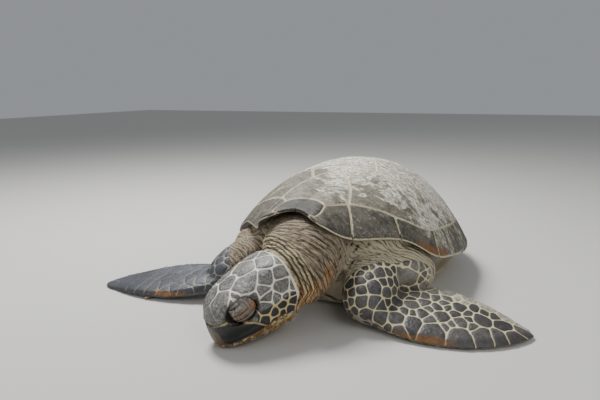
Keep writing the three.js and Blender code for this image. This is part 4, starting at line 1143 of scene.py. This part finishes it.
def flipperPlates(turtle, past, lowFront, limb, upper):      # plate of each point, its seam, its chance
    outward, known = np.abs(turtle[:, 0]), limb["plates"] if upper else []
    spacing = 17 + 5 * cloud(turtle, 30, 101) + 8 * ease(outward, 330, 480) - 3 * (1 - ease(past, 0, 30))
    spacing = spacing + 26 * lowFront * upper * ease(outward, 175, 200) + limb["coarser"]
    spacing = spacing * (1 if upper else 1.15)
    fixed = ([turtle[np.linalg.norm(turtle - plate[:3], axis=1).argmin()] for plate in known],
             [plate[3] for plate in known])
    seeds, reach = scattered(turtle, spacing, fixed, 102 + limb["hand"])
    owner = np.arange(len(seeds))
    for k, plate in enumerate(known):    # the later seeds of a long plate belong to its first
        owner[k] = known.index(plate[4]) if len(plate) > 4 else k
    plate, edge = nearestPlate(warped(turtle, 1.8, 13, 103), seeds, owner, 0.55 * reach)
    edge = np.minimum(edge, 9)
    edge -= 1.8 * (1 - ease(past + 5 * cloud(turtle, 14, 108), 0, 12)) * (1 - ease(outward, 225, 250))
    return plate, seeds, edge, np.random.default_rng(17 + limb["hand"]).random(len(seeds))[plate]


def makeFlipper(points, quads, side, upper, material):
    limb = flippers[side]
    turtle, facing = onTurtle(points), vertexNormals(points, quads)[:, 2]
    region = (pastElbow(turtle) > -4) & (turtle[:, 0] * limb["hand"] > 0)
    region &= (facing > -0.75) if upper else (facing < -0.15)
    surface = refined(points, quads, region, 1 if upper else 0)
    turtle, facing = onTurtle(surface[0]), vertexNormals(*surface[:2])[:, 2]
    past, outward, lowFront = pastElbow(turtle), np.abs(turtle[:, 0]), leadingEdge(turtle, limb)
    plate, seeds, edge, random = flipperPlates(turtle, past, lowFront, limb, upper)
    seamHalf = limb["seam"]
    height = 1.2 * ease(edge, seamHalf - 1.1, seamHalf + 1.8) + 0.7 * ease(edge, 2, 9)
    height += 0.3 * cloud(turtle, 5, 106) + 0.15 * cloud(turtle, 2.4, 107)
    height *= (1 - 0.35 * ease(outward, 440, 500)) * (1 - limb["worn"] * ease(facing, 0.6, 0.9))
    scallop = ease(turtle[:, 1] - limb["rearY"], 0, 22) * (1 - ease(np.abs(facing), 0.35, 0.8)) * (past > 30)
    height -= 1.6 * scallop * (1 - ease(edge, 1.0, 5.5))
    seam = 1 - ease(edge, seamHalf - 0.7, seamHalf + 0.5)
    # painted shade: the plates low on the front edge are darkened, as the shade under the flipper
    shade = (0.75 + 0.5 * random) * (1 - 0.5 * lowFront)
    if upper:
        seedX, seedY = np.abs(seeds[plate, 0]), seeds[plate, 1]
        mottled = ease(cloud(turtle, 4, 109) + 0.6 * cloud(turtle, 9, 110), -0.45, 0.25)
        lobe = (seedY > limb["lobesY"]) * (seedX > 245) * (0.35 + 0.6 * ease(seedX, 260, 330))
        pale = lobe * limb["lobesPale"] * (0.5 + 0.5 * mottled) + 0.08 * random
        warm = lowFront * (0.62 + 0.25 * random) * (1 - 0.9 * ease(outward, 320, 410)) + 0.35 * lowFront * seam
    else:
        pale, warm = 0.55 + 0.4 * random, 0.25 * random + 0.2 * lowFront
        seam = seam * 0.6
    if upper and side == "left":         # the big plate behind the elbow is worn paler
        onBig = plate == limb["plates"].index(bigPlate)
        shade, pale = np.where(onBig, 1.25, shade), np.where(onBig, 0.18 + 0.2 * mottled, pale)
    if upper and side == "right":        # damp, its seams show only at the edges; on its upward face they give way to the painted sky reflection
        seam = seam * (1 - 0.75 * ease(facing, 0.75, 0.97)) * (1 - 0.8 * ease(outward, 440, 480))
    marks = {"shade": shade, "black": 0.5 * (random > 0.75), "warm": np.clip(warm, 0, 1), "seam": seam,
             "pale": np.clip(pale, 0, 1)}
    unwrap = (0.02 + 0.9 * (outward - 90) / 480,
              0.5 * (not upper) + 0.02 - (turtle[:, 1] + 160) / 800 + 0.0006 * turtle[:, 2])
    name = f"{side}Flipper{'Top' if upper else 'Under'}Scales"
    coatPiece(name, surface, height, marks, material, unwrap)


def makeHindFlipper(points, quads, side, material):
    hand = flippers[side]["hand"]
    turtle = onTurtle(points)
    surface = refined(points, quads, (turtle[:, 1] > scaleEdge["hind"]) & (turtle[:, 0] * hand > 55))
    turtle = onTurtle(surface[0])
    seeds, reach = scattered(turtle, 18 + 4 * cloud(turtle, 30, 111), ([], []), 112 + hand)
    plate, edge = nearestPlate(turtle, seeds, np.arange(len(seeds)), 0.5 * reach)
    random = np.random.default_rng(27 + hand).random(len(seeds))[plate]
    height = 1.1 * ease(edge, 0.4, 3.2) + 0.25 * cloud(turtle, 5, 113)
    under = 1 - ease(vertexNormals(*surface[:2])[:, 2], -0.3, 0.1)
    marks = {"shade": 0.75 + 0.5 * random, "black": 0.4 * (random > 0.75), "warm": 0.1 * under,
             "seam": 1 - ease(edge, 0.5, 1.5), "pale": 0.15 * random + 0.6 * under}
    unwrap = (0.02 + (np.abs(turtle[:, 0]) - 50) / 190 * 0.45 + 0.5 * (under > 0.5),
              0.02 + (turtle[:, 1] - 320) / 150)
    coatPiece(f"{side}HindScales", surface, height, marks, material, unwrap)


def coated(points):                      # where the coats cover the skin
    turtle, own = onTurtle(points), toHead(points)
    onHead = (behindHead(own) < 0) & (np.abs(own[:, 1]) < 110) & (turtle[:, 1] < -400)
    onHind = (turtle[:, 1] > scaleEdge["hind"] + 4) & (np.abs(turtle[:, 0]) > 58)
    return onHead | (pastElbow(turtle) > 0) | onHind


hidden = {"underCoat": 6.0, "inShell": 12.0,     # mm between the skin's points where nothing shows it
          "sink": 1.6, "bladeSink": 3.0}         # mm that the skin keeps under its coats


def clustered(points, quads, normals, cell, marks):      # one point for each cell, where the skin is hidden
    merged = cell > 0
    size = np.where(merged, cell, 1)[:, None] * mm
    key = np.floor((points + 1) / size).astype(np.int64)
    octant = (normals > 0) @ np.array([1, 2, 4])
    code = ((key[:, 0] * 4096 + key[:, 1]) * 4096 + key[:, 2]) * 8 + octant
    code = np.where(merged, code * 16 + cell.astype(int), -1 - np.arange(len(points)))
    index = np.unique(code, return_inverse=True)[1]
    count = np.bincount(index)
    mean = np.stack([np.bincount(index, points[:, axis]) for axis in range(3)], 1) / count[:, None]
    for name, values in marks.items():
        parts = [np.bincount(index, part) / count for part in np.atleast_2d(values.T)]
        marks[name] = parts[0] if values.ndim == 1 else np.stack(parts, 1)
    tris = index[np.concatenate([quads[:, [0, 1, 2]], quads[:, [0, 2, 3]]])]
    plain = (~merged)[quads].all(1)
    tris = tris[np.concatenate([~plain, ~plain])]
    tris = tris[(tris[:, 0] != tris[:, 1]) & (tris[:, 1] != tris[:, 2]) & (tris[:, 2] != tris[:, 0])]
    once = np.unique(np.sort(tris, 1), axis=0, return_index=True)[1]
    return mean, [index[quads[plain]], tris[once]], marks


def makeSkin(points, quads, material):
    normals, turtle, own = vertexNormals(points, quads), onTurtle(points), toHead(points)
    height, marks = skinRelief(points)
    covered, edges = coated(points).astype(float), edgesOf(quads)
    for _ in range(3):
        covered = neighbourMean(covered, edges)
    inOrbit = (orbitReach(own) < 1.0) & (own[:, 0] < 120)
    under = ease(covered, 0.35, 1.0) * ~inOrbit
    blade = (np.abs(turtle[:, 0]) > 240) & (turtle[:, 2] < 75) & (turtle[:, 1] < -150)
    height = height * (1 - under) - np.where(blade, hidden["bladeSink"], hidden["sink"]) * under
    points = insideBox(points + normals * (height * mm)[:, None])
    inShell = (turtle[:, 1] > -215) & (turtle[:, 1] < 270) & (turtle[:, 2] > 30)
    inShell &= (turtle[:, 2] > 100) | ((turtle[:, 1] > -150) & (turtle[:, 1] < 190))
    cell = np.where(under > 0.98, hidden["underCoat"], np.where(inShell, hidden["inShell"], 0))
    points, faces, marks = clustered(points, quads, normals, cell, marks)
    skin = meshPiece("skin", points, faces, material, marks)
    print("skin", sum(len(f) * (f.shape[1] - 2) for f in faces), "triangles")
    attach(skin, "root")
    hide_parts(*[name for name in flesh["nodes"] if name != "upper_beak"])


lids = {
    "rings": 44, "spokes": 150,          # of the mesh
    "long": 28, "high": 25,              # half of the closed eye, in mm
    "base": 51.5, "bulge": 16.5,         # from the head's middle, and how far it stands out from there
    "slit": -0.42, "lean": 0.3,          # where the lids meet, and how the upper one falls back
    "wrinkle": 3.6, "curved": 4.4, "upright": 3.0,       # mm from wrinkle to wrinkle
    "sunk": 9,                           # mm from the rim back to the hidden floor
}


def lidHeights(along, across, x, y, fromSlit):           # height over the dome, and what colours need
    place = np.column_stack([x, y, np.zeros(len(x))])
    warp = 1.2 * cloud(place, 9, 121) + 0.5 * cloud(place, 4, 122)
    rearShare = ease(along + 0.25 * across, 0.2, 0.5)
    aheadShare = ease(-along - 0.3 * across, 0.0, 0.4)
    level = 1 - (1 - creased((fromSlit + warp) / lids["wrinkle"], 0.2)) * 0.35
    curved = creased((lids["long"] * np.hypot(along, across) + 1.5 * warp) / lids["curved"], 0.24)
    level = level * (1 - aheadShare) + curved * aheadShare
    upright = creased((x + 1.2 * warp + 0.12 * y) / lids["upright"], 0.2)
    wrinkled = level * (1 - rearShare) + upright * rearShare
    upper = ease(across + 0.15 * along, 0.1, 0.5)
    pebble = ease(cloud(place, 4.2, 123), -0.3, 0.2)
    height = 0.8 * (wrinkled - 1) * (1 - upper) + 0.9 * pebble * upper + 0.7 * cloud(place, 10, 124)
    ends = 1 - ease(np.abs(along), 0.8, 0.96)
    lips = 1.1 * np.exp(-((np.abs(fromSlit) - 2.4) / 1.4) ** 2)
    height += ends * (lips - 2.6 * np.exp(-(fromSlit / 0.9) ** 2))
    return height, ends, rearShare, aheadShare, wrinkled, upper, pebble


def makeLids(side, material):            # the closed eye: both lids in one domed, wrinkled form
    hand, rings, spokes = flippers[side]["hand"], lids["rings"], lids["spokes"]
    share = np.sin(np.linspace(0, 1, rings + 1)[1:] * np.pi / 2)[:, None]
    angle = np.linspace(0, 2 * np.pi, spokes, endpoint=False)
    along = np.append((share * np.cos(angle)).ravel(), 0)
    across = np.append((share * np.sin(angle)).ravel(), 0)
    reach = np.hypot(along, across)
    x, y = along * lids["long"], across * lids["high"]
    fromSlit = (across - (lids["slit"] + 0.22 * along**2)) * lids["high"]
    height, ends, rearShare, aheadShare, wrinkled, upper, pebble = lidHeights(along, across, x, y, fromSlit)
    dome = lids["bulge"] * np.maximum(1 - reach**2, 0) ** 0.55
    tilt = math.radians(orbit["tilt"])
    back = orbit["back"] + x * math.cos(tilt) - y * math.sin(tilt)
    up = orbit["up"] + x * math.sin(tilt) + y * math.cos(tilt)
    out = lids["base"] + 0.12 * (back - orbit["back"]) + dome + height * (1 - ease(reach, 0.9, 1))
    out -= lids["lean"] * np.maximum(y - 3, 0)
    top = fromHead(np.column_stack([back, hand * out, up]))
    floor = fromHead(np.column_stack([back, np.full(len(back), hand * (lids["base"] - lids["sunk"])), up]))
    points = np.concatenate([top, floor[-spokes - 1:]])
    quads = [band(k * spokes, (k + 1) * spokes, spokes) for k in range(rings - 1)]
    quads = np.concatenate(quads + [band((rings - 1) * spokes, len(top), spokes)])
    tris = np.concatenate([fan(0, len(top) - 1, spokes), fan(len(top), len(points) - 1, spokes)[:, ::-1]])
    if hand > 0:
        quads, tris = quads[:, ::-1], tris[:, ::-1]
    # painted shade: the lids darken low down, at their rim and in the slit between them, and the hidden floor
    # behind them is painted dark
    recessShade = ease(-across, 0.6, 0.95) + ease(reach, 0.9, 1.0) * (1 - upper)
    recessShade = np.clip(recessShade + 0.9 * np.exp(-(fromSlit / 0.8) ** 2) * ends, 0, 1)
    marks = {"fold": 0.35 + 0.65 * wrinkled, "recessShade": recessShade, "pale": 0.75 * upper * pebble, "sand": upper,
             "warm": (0.75 * rearShare + 0.3 * aheadShare) * (1 - ease(across, 0.2, 0.6)),
             "speck": 0 * x, "armShare": 0 * x, "run": 0.5 * (fromSlit * (1 - rearShare) + x * rearShare),
             "over": 0.5 * (x * (1 - rearShare) + y * rearShare)}
    marks = {key: np.append(values, np.full(spokes + 1, key == "recessShade")) for key, values in marks.items()}
    run, over = marks.pop("run"), marks.pop("over")
    marks["neckLay"] = np.column_stack([run, over, 0 * run])         # the creases follow the lids' wrinkles
    piece = meshPiece(f"{side}Lids", points, [quads, tris], material, marks)
    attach(piece, "root")
    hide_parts(f"eye_{side}")


def clawHorn():                          # solid keratin, streaked along its length, polished by sand
    material, tree, shader = newMaterial("claw horn", {"Roughness": 0.4, "IOR": 1.54})
    place = addNode(tree, "TexCoord").outputs["Object"]
    streak = addNode(tree, "TexNoise", {"Vector": place, "Scale": 1 / (4 * mm), "Detail": 5})
    colour = addNode(tree, "Mix", {0: streak, 6: "3a3129", 7: "a08a63"}, data_type="RGBA")
    bump = addNode(tree, "Bump", {"Height": streak, "Strength": 0.4, "Distance": 0.6 * mm})
    feed(tree, shader, {"Base Color": colour, "Normal": bump})
    return material


def makeClaw(name, material):            # a claw with its tip worn round
    model = bmesh.new()
    model.from_mesh(nodes[name].data)
    bmesh.ops.remove_doubles(model, verts=model.verts, dist=1e-5)
    mesh = bpy.data.meshes.new("claw")
    model.to_mesh(mesh)
    model.free()
    mesh = modified(inScene("claw", mesh), "SUBSURF", levels=3)
    mesh.materials.clear()
    mesh.materials.append(material)
    mesh.shade_smooth()
    piece = inScene(name + "Horn", mesh)
    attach(piece, "root")
    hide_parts(name)


belly = {
    "seams": [-196, -112, -14, 88, 190, 268], "bridge": 150,     # grooves across, and along the bridges
    "groove": 2.6, "depth": 1.6, "thin": 0.3,            # half width, depth, and mm inside the solid
    "voxel": 3.8, "smooth": 3, "softness": 0.8,
}


def bellyHorn():                         # thin waxy horn, yellowed, stained brown by mud, its upper sides darkened as painted shade
    material, tree, shader = newMaterial("belly horn, thin and waxy", {"Roughness": 0.45, "IOR": 1.54})
    place = addNode(tree, "TexCoord").outputs["Object"]
    mark = {key: addNode(tree, "Attribute", attribute_name=key).outputs["Fac"] for key in ("high", "seam")}
    stain = addNode(tree, "TexNoise", {"Vector": place, "Scale": 1 / (70 * mm), "Detail": 7, "Roughness": 0.65})
    patch = addNode(tree, "MapRange", {"Value": stain, "From Min": 0.45, "From Max": 0.7})
    colour = "cdbf8e"
    for share, over in ((patch, "9c8350"), (mark["high"], "574b3a"), (mark["seam"], "6b5836")):
        colour = addNode(tree, "Mix", {0: share, 6: colour, 7: over}, data_type="RGBA")
    grain = addNode(tree, "TexNoise", {"Vector": place, "Scale": 1 / (6 * mm), "Detail": 5})
    bump = addNode(tree, "Bump", {"Height": grain, "Strength": 0.3, "Distance": 0.8 * mm})
    feed(tree, shader, {"Base Color": colour, "Normal": bump})
    return material


def makePlastron():                      # the belly's cream plates, parted by shallow grooves
    source = inScene("source", nodes["plastron"].data.copy())
    fine = modified(source, "REMESH", mode="VOXEL", voxel_size=belly["voxel"] * mm)
    points, quads = keptBody(*readQuads(fine))
    edges = edgesOf(quads)
    for _ in range(belly["smooth"]):
        points = points + belly["softness"] * (neighbourMean(points, edges) - points)
    turtle = onTurtle(points)
    across, along = np.abs(turtle[:, 0]), turtle[:, 1]
    wave = 2.5 * cloud(turtle, 40, 131)
    gap = np.abs(turtle[:, 0] + 0.6 * wave)
    for seam in belly["seams"]:
        gap = np.minimum(gap, np.abs(along - seam + wave - 0.0004 * across**2))
    gap = np.minimum(gap, np.abs(across - belly["bridge"] + wave) + 60 * (np.abs(along) > 150))
    height = -belly["depth"] * np.exp(-(gap / belly["groove"]) ** 2) + 0.3 * cloud(turtle, 12, 132)
    height -= belly["thin"]
    points = insideBox(points + vertexNormals(points, quads) * (height * mm)[:, None])
    # painted shade: the plastron darkens upwards, under the shell's rim
    marks = {"seam": np.exp(-(gap / 1.6) ** 2), "high": 0.85 * ease(turtle[:, 2], 28, 62)}
    piece = meshPiece("bellyPlates", points, [quads], bellyHorn(), marks)
    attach(piece, "root")
    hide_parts("plastron")
    print("belly", len(quads) * 2, "triangles")


makeStage()
makeShell()
makePlastron()
finePoints = sculptHead(finePoints, fineQuads)
shieldHorn = scaleHorn("head shields of worn horn", {"roughness": 0.5, "blotches": 10, "worn": 0.85}, {
    "dark": "444240", "light": "7f7c76", "washed": "b9b5a8", "black": "101013", "orange": "84502a",
    "ochre": "a08045", "seam": "e2dece", "warmSeam": "c4a55a"})
beakHorn = scaleHorn("beak horn, hard and smooth", {"roughness": 0.42, "blotches": 9, "worn": 0.3}, {
    "dark": "4a4036", "light": "857a66", "washed": "cdbf92", "black": "0b0b0c", "orange": "522a0c",
    "ochre": "7d5822", "seam": "b5a778", "warmSeam": "a8843e"})
flipperHorn = scaleHorn("flipper scales of thin horn", {"roughness": 0.45, "blotches": 14, "worn": 0.22}, {
    "dark": "2a2729", "light": "4c4748", "washed": "aaa492", "black": "161517", "orange": "5a3716",
    "ochre": "745226", "seam": "d0c69c", "warmSeam": "a5803c"})
# a darker, bluer copy of the flipper horn for the right flipper: damp scales, with painted shade and a painted
# reflection of blue sky
dampHornPaintedShadeAndSky = scaleHorn("flipper scales, damp, painted darker and sky-blue", {"roughness": 0.5, "blotches": 14, "worn": 0.2}, {
    "dark": "2b2c31", "light": "484a51", "washed": "6c727c", "black": "1b1d21", "orange": "69401a",
    "ochre": "845f2c", "seam": "8f8a78", "warmSeam": "a5803c"})
makeHeadShields(finePoints, fineQuads, shieldHorn)
makeBeak(finePoints, fineQuads, beakHorn)
makeJaw(finePoints, fineQuads, beakHorn)
for side in ("left", "right"):
    for upper in (True, False):
        makeFlipper(finePoints, fineQuads, side, upper, flipperHorn if side == "left" else dampHornPaintedShadeAndSky)
    makeHindFlipper(finePoints, fineQuads, side, flipperHorn)
makeSkin(finePoints, fineQuads, foldedSkin("dry folded skin", {
    "brown": "675643", "grey": "7f7363", "sand": "bdb3a0", "ochre": "9a7838", "orange": "a8561f",
    "ridge": "b5a684", "cream": "d2c69c", "crease": "21190f", "recessShade": "15110f"}))
lidSkin = foldedSkin("eyelid skin", {
    "brown": "5a4b3d", "grey": "746a60", "sand": "716d68", "ochre": "9a6a30", "orange": "a85f24",
    "ridge": "8d8274", "cream": "a9a59c", "crease": "231a14", "recessShade": "0d0c0b"})
horn = clawHorn()
for side in ("left", "right"):
    makeLids(side, lidSkin)
    for name in ("claw", "hind_claw"):
        makeClaw(f"{name}_{side}", horn)
print("lids and claws done")
